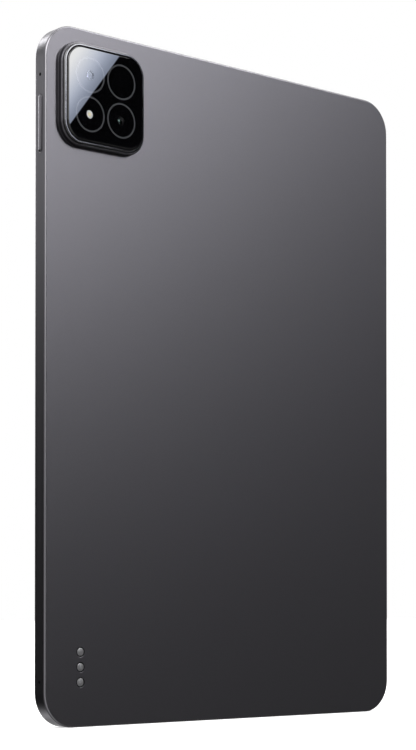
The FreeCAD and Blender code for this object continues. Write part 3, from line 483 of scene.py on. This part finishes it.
def flash_diffuser(paint):
    """The flash's lens: milky, warmer in the middle, with shallow rings. A painted glow, faint cream and
    warmer in the middle, brightens it though the flash is off.
    """
    where, (x, y, z) = paint.place()
    radius = ((x - FLASH.x) ** 2 + (z - FLASH.z) ** 2).root()
    rings = (radius * (2 * math.pi / (0.24 * MM))).wave() * 0.5 + 0.5
    warm = 1 - radius.steps(0.35 * MM, 1.05 * MM)
    return {
        "Base Color": paint.mix(warm, (0.90, 0.90, 0.87), (0.95, 0.86, 0.55)),
        "Roughness": 0.30 + rings * 0.08,
        # Painted light: a faint cream emission, warmer in the middle, though the flash is not lit
        "Emission Color": paint.mix(warm, (1.0, 0.98, 0.92), (1.0, 0.90, 0.66)),
        "Emission Strength": 0.16,
        "Normal": paint.bump(rings, 0.015 * MM),
    }


# Plastics, films and boards

def moulded(colour, rough=0.45, scale=900.0, depth=0.008):
    """Moulded plastic with a fine spark-eroded texture and faint flow marks."""
    def build(paint):
        where, _ = paint.place()
        grain = paint.noise(where, scale, 3, 0.6)
        flow = paint.noise(where, 45, 2, 0.5, (1, 1, 0.3))
        return {
            "Base Color": paint.mix(flow.steps(0.3, 0.7), shade(colour, 0.82), colour),
            "Roughness": rough + (grain - 0.5) * 0.12,
            "Normal": paint.bump(grain, depth * MM),
        }
    return build


def baffled(paint):
    """The inside of a lens barrel: matt black with fine turned grooves that stop stray light."""
    where, (x, y, z) = paint.place()
    grooves = (y * (2 * math.pi / (0.09 * MM))).wave() * 0.5 + 0.5
    grain = paint.noise(where, 4000, 2, 0.5)
    return {
        "Base Color": paint.mix(grain.steps(0.3, 0.7), (0.010, 0.010, 0.011), (0.018, 0.018, 0.019)),
        "Roughness": 0.42 + (grain - 0.5) * 0.1,
        "Normal": paint.bump(grooves, 0.012 * MM),
    }


def deco_black(paint):
    """The printed plate under the camera glass."""
    where, _ = paint.place()
    grain = paint.noise(where, 2500, 2, 0.5)
    return {
        "Base Color": paint.mix(grain.steps(0.3, 0.7), (0.003, 0.003, 0.0035), (0.006, 0.006, 0.007)),
        "Roughness": 0.55 + (grain - 0.5) * 0.1,
        "Specular IOR Level": 0.03,
        "Normal": paint.bump(grain, 0.002 * MM),
    }


def amber_film(paint):
    """Flexible circuit film: amber, with copper tracks showing through."""
    where, (x, y, z) = paint.place()
    tracks = ((x + z) * (2 * math.pi / (0.55 * MM))).wave().steps(0.1, 0.5)
    grain = paint.noise(where, 700, 2, 0.5)
    return {
        "Base Color": paint.mix(tracks, (0.30, 0.13, 0.025), (0.42, 0.20, 0.05)),
        "Roughness": 0.34 + (grain - 0.5) * 0.1,
        "Coat Weight": 0.3,
        "Normal": paint.bump(tracks, 0.02 * MM),
    }


def solder_mask(paint):
    """A circuit board: dark green lacquer over copper areas, tracks and rows of vias."""
    where, (x, y, z) = paint.place()
    cells = paint.node("ShaderNodeTexVoronoi", {"feature": "DISTANCE_TO_EDGE"},
                       {"Vector": where, "Scale": 420})
    tracks = 1 - cells.steps(0.02, 0.06)
    dots = paint.node("ShaderNodeTexVoronoi", {}, {"Vector": where, "Scale": 700})
    vias = 1 - dots.steps(0.10, 0.16)
    lacquer = paint.mix(tracks, (0.010, 0.060, 0.030), (0.020, 0.120, 0.055))
    return {
        "Base Color": paint.mix(vias, lacquer, (0.45, 0.36, 0.16)),
        "Roughness": 0.30 + tracks * 0.08,
        "Coat Weight": 0.2,
        "Normal": paint.bump(tracks * 0.6 + vias * 0.4, 0.02 * MM),
    }


def pouch(paint):
    """A battery cell's foil: dark wrap, with soft crinkles all over."""
    where, _ = paint.place()
    crinkle = paint.noise(where, 60, 4, 0.55)
    fine = paint.noise(where, 900, 2, 0.5)
    return {
        "Base Color": paint.mix(crinkle.steps(0.3, 0.7), (0.055, 0.055, 0.060), (0.085, 0.085, 0.090)),
        "Metallic": 0.35,
        "Roughness": 0.38 + (fine - 0.5) * 0.1,
        "Normal": paint.bump(crinkle, 0.25 * MM, 0.6),
    }


def prism_film(paint):
    """Brightness film: rows of the finest prisms over a milky sheet."""
    where, (x, y, z) = paint.place()
    rows = (z * (2 * math.pi / (0.30 * MM))).wave() * 0.5 + 0.5
    haze = paint.noise(where, 200, 2, 0.5)
    return {
        "Base Color": paint.mix(haze, (0.80, 0.81, 0.84), (0.88, 0.89, 0.91)),
        "Roughness": 0.25 + rows * 0.1,
        "Normal": paint.bump(rows, 0.02 * MM),
    }


def clear_guide(paint):
    """The light guide: clear acrylic with a printed grid of dots."""
    where, (x, y, z) = paint.place()
    pitch = 2 * math.pi / (1.1 * MM)
    dots = ((x * pitch).wave() * (z * pitch).wave()).steps(0.55, 0.75)
    return {
        "Base Color": paint.mix(dots, (0.74, 0.79, 0.83), (0.93, 0.94, 0.95)),
        "Roughness": 0.08 + dots * 0.4,
        "Coat Weight": 0.4,
        "Normal": paint.bump(dots, 0.01 * MM),
    }


def diode_bar(paint):
    """The light bar: a white strip with a row of yellow diodes."""
    where, (x, y, z) = paint.place()
    lamps = (x * (2 * math.pi / (5.2 * MM))).wave().steps(0.55, 0.70)
    grain = paint.noise(where, 900, 2, 0.5)
    return {
        "Base Color": paint.mix(lamps, (0.82, 0.82, 0.80), (0.85, 0.62, 0.08)),
        "Roughness": 0.40 + (grain - 0.5) * 0.1,
        "Normal": paint.bump(lamps, 0.05 * MM),
    }


def woven(paint):
    """Acoustic mesh: a plain weave of black threads."""
    where, (x, y, z) = paint.place()
    pitch = 2 * math.pi / (0.16 * MM)
    over = (x * pitch).wave() * (y * pitch).wave()
    threads = over.steps(-0.6, 0.6)
    return {
        "Base Color": paint.mix(threads, (0.006, 0.006, 0.007), (0.035, 0.035, 0.037)),
        "Roughness": 0.55 + threads * 0.1,
        "Normal": paint.bump(threads, 0.03 * MM),
    }


def foam(paint):
    """The screen's foam tape: black, closed cells."""
    where, _ = paint.place()
    cells = paint.node("ShaderNodeTexVoronoi", {}, {"Vector": where, "Scale": 2600})
    return {
        "Base Color": paint.mix(cells, (0.030, 0.030, 0.032), (0.014, 0.014, 0.015)),
        "Roughness": 0.75 + cells * 0.15,
        "Normal": paint.bump(cells, 0.05 * MM),
    }


FINISHES = {
    "blasted metal": material("blasted metal", blasted),
    "key metal": material("key metal", lambda paint: blasted(paint, False)),
    "polished trim": material("polished trim", polished),
    "ring metal": material("ring metal", ring_metal),
    "plated sheet": material("plated sheet", plated((0.62, 0.61, 0.60), (0.50, 0.49, 0.48))),
    "plated screws": material("plated screws", plated((0.70, 0.69, 0.67), (0.55, 0.54, 0.52))),
    "magnet plating": material("magnet plating", plated((0.66, 0.66, 0.66), (0.58, 0.58, 0.58), 0.15)),
    "port steel": material("port steel", plated((0.46, 0.46, 0.47), (0.36, 0.36, 0.37), 0.30)),
    "gold pins": material("gold pins", plated((0.90, 0.65, 0.28), (0.78, 0.54, 0.22), 0.22)),
    "contact face": material("contact face", contact_face),
    "camera glass": camera_glass(),
    "violet lens": material("violet lens", lens_glass((0.62, 0.55, 1.0))),
    "green lens": material("green lens", lens_glass((0.55, 0.95, 0.80))),
    "screen glass": material("screen glass", screen_glass),
    "flash diffuser": material("flash diffuser", flash_diffuser),
    "lens barrel": material("lens barrel", baffled),
    "deco plate": material("deco plate", deco_black),
    "window collar": material("window collar", moulded((0.012, 0.012, 0.013), 0.30, 2600, 0.002)),
    "black plastic": material("black plastic", moulded((0.028, 0.028, 0.030))),
    "grey plastic": material("grey plastic", moulded((0.060, 0.060, 0.062), 0.5)),
    "chip package": material("chip package", moulded((0.022, 0.022, 0.023), 0.38, 2200)),
    "insulator": material("insulator", moulded((0.020, 0.020, 0.021), 0.35, 1800, 0.004)),
    "clear pipe": material("clear pipe", moulded((0.78, 0.80, 0.82), 0.12, 600, 0.002)),
    "panel glass": material("panel glass", moulded((0.018, 0.019, 0.024), 0.10, 300, 0.001)),
    "amber film": material("amber film", amber_film),
    "solder mask": material("solder mask", solder_mask),
    "battery pouch": material("battery pouch", pouch),
    "prism film": material("prism film", prism_film),
    "light guide": material("light guide", clear_guide),
    "diode bar": material("diode bar", diode_bar),
    "woven mesh": material("woven mesh", woven),
    "foam tape": material("foam tape", foam),
}

NODE_FINISHES = {
    "blasted metal": ["rear_housing"],
    "key metal": ["volume_key", "power_key"],
    "polished trim": ["camera_trim_ring"],
    "screen glass": ["cover_glass"],
    "camera glass": ["camera_cover_glass"],
    "deco plate": ["camera_deco_plate"],
    "plated sheet": ["backlight_tray", "main_camera_module", "second_camera_module", "volume_key_bracket",
                     "power_key_bracket", "microphone_lower", "microphone_upper", "processor_shield",
                     "power_shield"],
    "plated screws": ["screws"],
    "magnet plating": ["keyboard_magnets"],
    "port steel": ["charging_port_shell"],
    "contact face": ["accessory_contact_1", "accessory_contact_2", "accessory_contact_3"],
    "insulator": ["contact_insulator", "charging_port_tongue"],
    "black plastic": ["speaker_1", "speaker_2", "speaker_3", "speaker_4", "front_camera"],
    "grey plastic": ["antenna_carriers"],
    "chip package": ["board_chips"],
    "clear pipe": ["light_sensor_pipe"],
    "panel glass": ["lcd_cell"],
    "amber film": ["display_flex", "battery_flex", "main_to_sub_flex", "volume_key_board", "power_key_board",
                   "front_camera_board"],
    "solder mask": ["main_board", "sub_board", "battery_board", "main_camera_board", "flash_board",
                    "contact_board"],
    "battery pouch": ["battery_cell_1", "battery_cell_2"],
    "prism film": ["optical_film_stack"],
    "light guide": ["light_guide"],
    "diode bar": ["led_light_bar"],
    "woven mesh": ["speaker_meshes"],
    "foam tape": ["display_adhesive"],
    "ring metal": ["lens_ring_1", "lens_ring_2", "lens_ring_3", "lens_ring_4"],
    "lens barrel": ["main_camera_barrel", "second_camera_lens"],
    "violet lens": ["main_camera_element"],
    "flash diffuser": ["flash_lens"],
}


def dress(piece, finish):
    piece.data.materials.clear()
    piece.data.materials.append(FINISHES[finish])


def smoothed(piece, degrees=28):
    """Smooth shading, with edges kept past an angle: corners are merged, then split again."""
    piece.data.shade_smooth()
    weld = piece.modifiers.new("corners", "WELD")
    weld.merge_threshold = 1e-6
    split = piece.modifiers.new("edges", "EDGE_SPLIT")
    split.split_angle = math.radians(degrees)


for finish, names in NODE_FINISHES.items():
    for name in names:
        dress(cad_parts[name], finish)
        smoothed(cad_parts[name])


def fit(piece, finish, body, slot, *nodes):
    """Finishes a new piece, lets it ride on its body and hides the nodes it stands for."""
    dress(piece, finish)
    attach(piece, body)
    if nodes:
        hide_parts(*nodes)
    return piece


# Camera bump: rings, lenses and flash under the glass

RING_WIDTH = 0.54 * MM
FACETS = 16
WINDOW_BEZEL = 0.30 * MM
WINDOW_DEPTH = 0.28 * MM
FLASH_RIDGE = 0.30 * MM
FLASH_RIDGE_HEIGHT = 0.035 * MM


def lens_rings():
    """The four thin rings under the print, smooth where the nodes are faceted."""
    for number in range(1, 5):
        node = "lens_ring_%d" % number
        low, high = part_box(node)
        place = middle(node)
        outer = (high[0] - low[0]) / 2
        profile = ring_profile(outer - RING_WIDTH, outer, low[1], high[1], 0.02 * MM)
        ring = turned("ring_%d" % number, profile, (place.x, place.z), 128)
        fit(ring, "ring metal", TABLET, "ring_metal", node)


def window_bezel(name, place, radius):
    """The black collar of a window: a skirt in the plate's flat-sided hole, and a flange over its edge."""
    skirt = radius * math.cos(math.pi / FACETS) - 0.005 * MM
    inner = skirt - 0.09 * MM
    flange = (DECO_TOP + 0.005 * MM, DECO_TOP + 0.035 * MM)
    profile = [(inner, DECO_TOP - WINDOW_DEPTH), (skirt, DECO_TOP - WINDOW_DEPTH), (skirt, flange[0]),
               (radius + WINDOW_BEZEL, flange[0]), (radius + WINDOW_BEZEL, flange[1]), (inner, flange[1])]
    fit(turned(name, profile, (place.x, place.z)), "window collar", TABLET, "black_plate")


def barrel_profile(radius, mouth, element, top, depth):
    """The section of a lens barrel: a rim, a stepped cone down to the element, and a light path behind it."""
    count = 4
    cone = []
    for index in range(count):
        r = mouth + (element - mouth) * index / count
        y = top - (mouth - element) * index / count
        step = (mouth - element) / count
        cone += [(r, y), (r - 0.35 * step, y - 0.15 * step)]
    seat = top - (mouth - element)
    return ([(radius, top - depth), (radius, top - 0.08 * MM), (radius - 0.08 * MM, top)] + cone
            + [(element, seat), (element, seat - 0.38 * MM), (element * 0.5, seat - 0.60 * MM),
               (element * 0.5, top - depth)])


def dome_profile(radius, low, seat, crown, steps=14):
    """The section of a front lens.

    It is flat behind, and in front y = seat + crown sin(a) at radius cos(a), for a from 0 to 90 degrees.
    """
    angle = np.linspace(0, math.pi / 2, steps)
    front = [(radius * math.cos(a), seat + crown * math.sin(a)) for a in angle]
    return [(0.0, low), (radius, low)] + front


def main_camera():
    """The barrel and its coated front lens, which travel together to focus."""
    low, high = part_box("main_camera_barrel")
    place = middle("main_camera_barrel")
    spot = (place.x, place.z)
    radius = (high[0] - low[0]) / 2
    lens_low, lens_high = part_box("main_camera_element")
    element = (lens_high[0] - lens_low[0]) / 2
    seat = high[1] - (radius - 0.40 * MM - element)
    barrel = turned("main_barrel", barrel_profile(radius, radius - 0.40 * MM, element + 0.04 * MM, high[1],
                                                  high[1] - low[1]), spot)
    fit(barrel, "lens barrel", FOCUS, "lens_barrel", "main_camera_barrel")
    front = turned("main_front_lens", dome_profile(element, lens_low[1], seat, lens_high[1] - seat), spot,
                   closed=False)
    fit(front, "violet lens", FOCUS, "lens_glass", "main_camera_element")
    window_bezel("main_window_collar", place, MAIN_WINDOW)


def second_camera():
    """The fixed second camera: a smaller barrel and lens, which stand for one node."""
    low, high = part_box("second_camera_lens")
    place = middle("second_camera_lens")
    spot = (place.x, place.z)
    radius = (high[0] - low[0]) / 2
    mouth = radius - 0.40 * MM
    seat = high[1] - (mouth - SECOND_ELEMENT)
    barrel = turned("second_barrel", barrel_profile(radius, mouth, SECOND_ELEMENT + 0.04 * MM, high[1],
                                                    high[1] - low[1]), spot)
    fit(barrel, "lens barrel", TABLET, "lens_barrel", "second_camera_lens")
    front = turned("second_front_lens", dome_profile(SECOND_ELEMENT, seat - 0.40 * MM, seat, 0.45 * MM), spot,
                   closed=False)
    fit(front, "green lens", TABLET, "lens_glass")
    window_bezel("second_window_collar", place, SECOND_WINDOW)


def flash():
    """The flash's lens: a flange under the plate and a disc in its window, with turned ridges.

    The disc's face is y = top - height (1 - cos(2 pi r / ridge)) / 2.
    """
    low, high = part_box("flash_lens")
    flange = (high[0] - low[0]) / 2
    disc = FLASH_RADIUS - 0.05 * MM
    r = np.linspace(disc - 0.05 * MM, 0, 41)
    face = high[1] - 0.01 * MM - FLASH_RIDGE_HEIGHT * (1 - np.cos(2 * math.pi * r / FLASH_RIDGE)) / 2
    profile = [(0, low[1]), (flange, low[1]), (flange, low[1] + 0.30 * MM), (disc, low[1] + 0.30 * MM),
               (disc, high[1] - 0.06 * MM)] + list(zip(r, face))
    lens = turned("flash_front", profile, (FLASH.x, FLASH.z), closed=False)
    fit(lens, "flash diffuser", TABLET, "flash_lens", "flash_lens")
    window_bezel("flash_window_collar", FLASH, FLASH_WINDOW)


# Contacts on the back, charging port and microphones

def contacts():
    """Each contact: a plated pad on its stem, in a black collar whose lip covers the edge of the hole."""
    for number, place in enumerate(CONTACTS, 1):
        node = "accessory_contact_%d" % number
        low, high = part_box(node)
        radius = (high[0] - low[0]) / 2
        spot = (place.x, place.z)
        ease = 0.10 * MM
        profile = [(0, low[1]), (0.8 * MM, low[1]), (0.8 * MM, low[1] + 0.5 * MM),
                   (radius, low[1] + 0.5 * MM), (radius, high[1] - ease)]
        profile += [(radius - ease * (1 - math.cos(a)), high[1] - ease * (1 - math.sin(a)))
                    for a in np.linspace(0.4, math.pi / 2, 4)]
        profile += [(0, high[1] - 0.01 * MM)]
        fit(turned("contact_pad_%d" % number, profile, spot, closed=False), "contact face", TABLET,
            "contact_metal", node)
        collar = radius + 0.34 * MM
        section = [(radius + 0.02 * MM, BACK_Y - 0.60 * MM), (collar - 0.03 * MM, BACK_Y - 0.60 * MM),
                   (collar - 0.03 * MM, BACK_Y + 0.003 * MM), (collar + 0.04 * MM, BACK_Y + 0.003 * MM),
                   (collar + 0.03 * MM, BACK_Y + 0.015 * MM), (collar - 0.06 * MM, BACK_Y + 0.015 * MM),
                   (radius + 0.02 * MM, BACK_Y - 0.04 * MM)]
        fit(turned("contact_collar_%d" % number, section, spot), "deco plate", TABLET, "insulator")


def key(node, out, along, body):
    """A key: a crowned cap shaped like a pill, over a wider flange behind the wall and a foot.

    Each row of the grid is the outline of a pill: half circles of radius w - inset about the two ends of its
    middle line. Over the cap's rim, height = top - crown (1 - sqrt(1 - (1 - inset / bend)^2)). The flange's
    face lies on the wall's inner face, without the gap that the solids keep there.
    """
    low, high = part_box(node)
    centre = middle(node)
    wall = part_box("rear_housing")[1][out]
    top = high[out]
    half_width = (high[1] - low[1]) / 2 - KEY_FLANGE
    half_line = (high[along] - low[along]) / 2 - KEY_FLANGE_ENDS - half_width
    ends = KEY_FLANGE_ENDS - KEY_FLANGE
    foot = 0.4 * half_width
    flange_top = wall - KEY_WALL
    flange_low = wall - KEY_WALL - KEY_FLANGE_DEPTH
    rows = [
        (half_width, -ends, low[out]),
        (foot, -ends, low[out]),
        (foot, -ends, flange_low),
        (-KEY_FLANGE, ends, flange_low),
        (-KEY_FLANGE, ends, flange_top),
        (0, 0, flange_top),
    ]
    for t in np.linspace(0, 1, 9):
        inset = KEY_BEND * t * t
        rows.append((inset, 0, top - KEY_CROWN * (1 - math.sqrt(1 - (1 - inset / KEY_BEND) ** 2))))
    rows.append((half_width, 0, top))
    inset, longer, level = np.array(rows).T
    turn = np.concatenate([np.linspace(-90, 90, KEY_STEPS), np.linspace(90, 270, KEY_STEPS)])
    side = np.repeat([1, -1], KEY_STEPS)
    turn = np.radians(turn)
    points = np.empty((len(rows), len(turn), 3))
    radius = (half_width - inset)[:, None]
    points[..., along] = centre[along] + (half_line + longer)[:, None] * side + radius * np.cos(turn)
    points[..., 1] = centre[1] + radius * np.sin(turn)
    points[..., out] = level[:, None]
    piece = mesh_piece(node + "_cap", points, grid_faces(len(rows), len(turn), False, True), 40)
    fit(piece, "key metal", body, "key_metal", node)


def microphone_hole_shade():
    """Painted shade in the two microphone holes in the long side's wall: a black seat fills each hole, and
    its black lip covers the wall round it, so each hole reads as a larger, darker dot.
    """
    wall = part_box("rear_housing")[1][0]
    for name in ("microphone_lower", "microphone_upper"):
        place = middle(name)
        # Painted shade: the black lip, out to 0.60 mm on the wall's face, darkens the metal round each hole
        profile = [(0, -0.30), (0.365, -0.30), (0.365, 0.003), (0.60, 0.003), (0.58, 0.014), (0.34, 0.014),
                   (0.28, -0.12), (0, -0.12)]
        profile = [(radius * MM, wall + level * MM) for radius, level in profile]
        plug = turned(name + "_seat", profile, (KEY_LINE, place.z), 32, False, 0)
        fit(plug, "deco plate", TABLET, "black_plate")


def port_pins():
    """The gold pins on both faces of the port's tongue."""
    low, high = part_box("charging_port_tongue")
    place = middle("charging_port_tongue")
    pins = []
    for face in (-1, 1):
        for index in range(PIN_COUNT):
            x = (index - (PIN_COUNT - 1) / 2) * PIN_PITCH
            centre = (x, place.y + face * TONGUE_HALF, low[2] + 0.35 * MM + PIN_LENGTH / 2)
            pins.append(bar("pin", centre, (PIN_WIDTH, 0.06 * MM, PIN_LENGTH), 0.02 * MM))
    fit(merged(pins, "port_pins"), "gold pins", TABLET, "contact_metal")


KEY_FLANGE = 0.40 * MM
KEY_FLANGE_ENDS = 1.00 * MM
KEY_FLANGE_DEPTH = 0.50 * MM
KEY_WALL = 1.00 * MM
KEY_STEPS = 19
KEY_BEND = 0.78 * MM
KEY_CROWN = 0.42 * MM
KEY_LINE = -1.70 * MM
MAIN_WINDOW = 3.30 * MM
SECOND_WINDOW = 2.45 * MM
SECOND_ELEMENT = 1.26 * MM
FLASH_RADIUS = 1.55 * MM
FLASH_WINDOW = 1.63 * MM
PIN_COUNT = 12
PIN_PITCH = 0.50 * MM
PIN_WIDTH = 0.24 * MM
PIN_LENGTH = 3.60 * MM
TONGUE_HALF = 0.35 * MM
lens_rings()
main_camera()
second_camera()
flash()
contacts()
key("volume_key", 0, 2, "volume_key")
key("power_key", 2, 0, "power_key")
microphone_hole_shade()
port_pins()


# Stage, light and camera

FLOOR_LIFT = 0.50


def floor():
    """A wide pale floor under the tablet, which reflections pass through."""
    reach = 3.0
    across = np.linspace(-reach, reach, 9)
    x, y = np.meshgrid(across, across, indexing="ij")
    points = np.stack([x, y, np.zeros_like(x)], axis=-1)
    piece = mesh_piece("floor", points, grid_faces(9, 9)[:, ::-1])
    made = bpy.data.materials.new("floor")
    made.use_nodes = True
    paint = Paint(made.node_tree)
    where, _ = paint.place()
    speckle = paint.noise(where, 60, 2, 0.5)
    pale = paint.mix(speckle, (0.80, 0.80, 0.80), (0.84, 0.84, 0.84))
    plain = paint.node("ShaderNodeBsdfDiffuse", inputs={"Color": pale})
    lift = paint.node("ShaderNodeEmission", inputs={"Color": (1, 1, 1, 1), "Strength": FLOOR_LIFT})
    seen = paint.node("ShaderNodeLightPath", out="Is Camera Ray")
    none = paint.node("ShaderNodeEmission", inputs={"Strength": 0.0})
    glow = paint.node("ShaderNodeMixShader", inputs={0: seen, 1: none, 2: lift})
    both = paint.node("ShaderNodeAddShader", inputs={0: plain, 1: glow})
    paint.node("ShaderNodeOutputMaterial", inputs={"Surface": both})
    piece.data.materials.append(made)
    piece.visible_glossy = False


CAMERA_FOCUS = 1836.7
CAMERA_ROW = 569.9
CAMERA_YAW = 40.404
CAMERA_PITCH = 1.0
CAMERA_PLACE = Vector((462.4, 531.7, 44.8)) * MM
PHOTO_HEIGHT = 750

# The photo's edge of light on the camera glass, as two points of the back, gives the soft box's edge
EDGE_POINTS = [Vector((56.4, 4.79, 242.6)) * MM, Vector((77.6, 4.79, 215.3)) * MM]
mirrored = []
for point in EDGE_POINTS:
    ray = (point - CAMERA_PLACE).normalized()
    mirrored.append(Vector((ray.x, -ray.y, ray.z)))
BOX_EDGE = mirrored[1].cross(mirrored[0]).normalized()
BOX_MIDDLE = (mirrored[0] + mirrored[1]).normalized()
BOX_ALONG = BOX_EDGE.cross(BOX_MIDDLE)

# The soft box: its light against the distance past its edge, up to its reach, then its length along the edge
BOX_REACH = 0.60
BOX_PEAK = 9.7
BOX_STOPS = [(0.0, 0.28), (0.0067, 0.40), (0.015, 0.64), (0.0225, 0.82), (0.032, 1.0),
             (0.083, 1.0), (0.167, 0.69), (0.33, 0.31), (0.58, 0.19), (1.0, 0.02)]
BOX_OFFSET = 0.37
BOX_HALF = 0.46
BOX_SOFT = 0.10
BOX_CRISP = 0.0006
EDGE_BLUE = (0.84, 0.95, 1.22)
EDGE_BLUE_WIDTH = 0.022

# The dome: its fill, and brighter above
FILL = 0.55
OVERHEAD = 0.90

# Dark cards, each as its direction, the degrees of its full and faded rim, and its tone
SIDE = Vector((0.65, -0.76, 0.0))
CARDS = [
    (Vector((-0.695, 0.719, 0.0)), 60, 99, 0.11),
    (Vector((-0.580, 0.770, 0.267)), 8, 25, 0.0),
    (SIDE, 25, 45, 0.015),
    (Vector((1.0, 0.0, 0.0)), 14, 30, 0.24),
]

# Soft lamps in the same terms, with the light each one adds
LAMPS = [
    (Vector((0.60, 0.51, 0.616)), 5, 32, 2.2),
    (Vector((-0.61, -0.27, 0.745)), 10, 28, 0.7),
]

# A low box for the long side, and an upright strip before the screen's side
SIDE_BOX = 1.65
SIDE_BOX_LOW, SIDE_BOX_HIGH = 11.2, 14.2
STRIP = Vector((0.070, -0.9975, 0.0))
STRIP_HALF = 0.07
STRIP_SOFT = 0.04
STRIP_LOW, STRIP_MIDDLE, STRIP_HIGH = 1.3, 0.2, 8.0

# The cone about the camera's direction, in degrees, in which metal and glass see the white backdrop
BACKDROP_INNER, BACKDROP_OUTER = 24, 30


def studio():
    """The light all round, as a function of the direction from the tablet.

    The dome is an even fill with a brighter top. Dark cards stand where the back and the long side look.
    The main soft box starts at a slanting edge, and its light falls off with the distance past that edge. A
    low second box lights the long side, and an upright strip the edges towards the screen. The camera sees
    plain white, and so do metal and glass where they look past the tablet at the backdrop.
    """
    world = bpy.data.worlds.new("studio")
    world.use_nodes = True
    bpy.context.scene.world = world
    paint = Paint(world.node_tree)
    where, (x, y, z) = paint.place("Generated")

    def facing(direction):
        return x * direction[0] + y * direction[1] + z * direction[2]

    def within(direction, inner, outer):
        """1 inside a cone of inner degrees about a direction, 0 outside outer degrees, with an eased rim."""
        return facing(direction).steps(math.cos(math.radians(outer)), math.cos(math.radians(inner)))

    def above(low, high):
        """0 below a low elevation and 1 above a high one, in degrees."""
        return z.steps(math.sin(math.radians(low)), math.sin(math.radians(high)))

    dome = FILL + (OVERHEAD - FILL) * above(15, 60)
    for direction, inner, outer, tone in CARDS:
        dome = dome + (tone - dome) * within(direction, inner, outer)
    for direction, inner, outer, tone in LAMPS:
        dome = dome + tone * within(direction, inner, outer)
    beside = abs(facing(STRIP.cross((0, 0, 1))))
    strip = (1 - beside.steps(STRIP_HALF, STRIP_HALF + STRIP_SOFT)) * (facing(STRIP) > 0)
    strip = strip * (STRIP_LOW - (STRIP_LOW - STRIP_MIDDLE) * above(-30, -15)
                     + (STRIP_HIGH - STRIP_MIDDLE) * above(7, 18))
    past = facing(BOX_EDGE)
    fall = paint.node("ShaderNodeValToRGB", {"stops": [(spot, (tone,) * 3) for spot, tone in BOX_STOPS]},
                      {0: past / BOX_REACH})
    tone = paint.node("ShaderNodeRGBToBW", inputs={0: fall})
    length = abs(facing(BOX_ALONG) - BOX_OFFSET)
    shape = past.steps(0.0, BOX_CRISP) * (facing(BOX_MIDDLE) > 0)
    shape = shape * (1 - length.steps(BOX_HALF, BOX_HALF + BOX_SOFT))
    side = above(SIDE_BOX_LOW, SIDE_BOX_HIGH) * (1 - above(SIDE_BOX_HIGH, SIDE_BOX_HIGH + 12))
    side = side * within(SIDE, 35, 50) * SIDE_BOX
    light = dome + tone * shape * BOX_PEAK + side + strip
    behind = within(camera_forward(), BACKDROP_INNER, BACKDROP_OUTER)
    seen = paint.node("ShaderNodeLightPath", out="Is Camera Ray")
    mirrored_ray = paint.node("ShaderNodeLightPath", out="Is Glossy Ray")
    through = paint.node("ShaderNodeLightPath", out="Is Transmission Ray")
    backdrop = (seen + (mirrored_ray + through) * behind).at_most(1)
    total = light * (1 - backdrop) + backdrop
    blue = (1 - past.steps(0, EDGE_BLUE_WIDTH)) * (past > 0) * (1 - backdrop)
    hue = paint.mix(blue, (1, 1, 1), EDGE_BLUE)
    back = paint.node("ShaderNodeBackground", inputs={"Color": hue, "Strength": total})
    paint.node("ShaderNodeOutputWorld", inputs={"Surface": back})


def camera_forward():
    """The direction the camera looks in."""
    yaw, pitch = math.radians(CAMERA_YAW), math.radians(CAMERA_PITCH)
    return Vector((-math.sin(yaw) * math.cos(pitch), -math.cos(yaw) * math.cos(pitch), math.sin(pitch)))


def camera():
    """A camera at the photograph's place, with its long lens raised by a shift."""
    lens = bpy.data.cameras.new("camera")
    lens.sensor_width = 36.0
    lens.lens = 36.0 * CAMERA_FOCUS / PHOTO_HEIGHT
    lens.shift_y = (CAMERA_ROW - PHOTO_HEIGHT / 2) / PHOTO_HEIGHT
    lens.clip_start = 0.01
    lens.clip_end = 50.0
    made = bpy.data.objects.new("camera", lens)
    bpy.context.scene.collection.objects.link(made)
    made.location = CAMERA_PLACE
    made.rotation_euler = camera_forward().to_track_quat("-Z", "Y").to_euler()
    bpy.context.scene.camera = made


floor()
studio()
camera()
bpy.context.scene.view_settings.view_transform = "Standard"
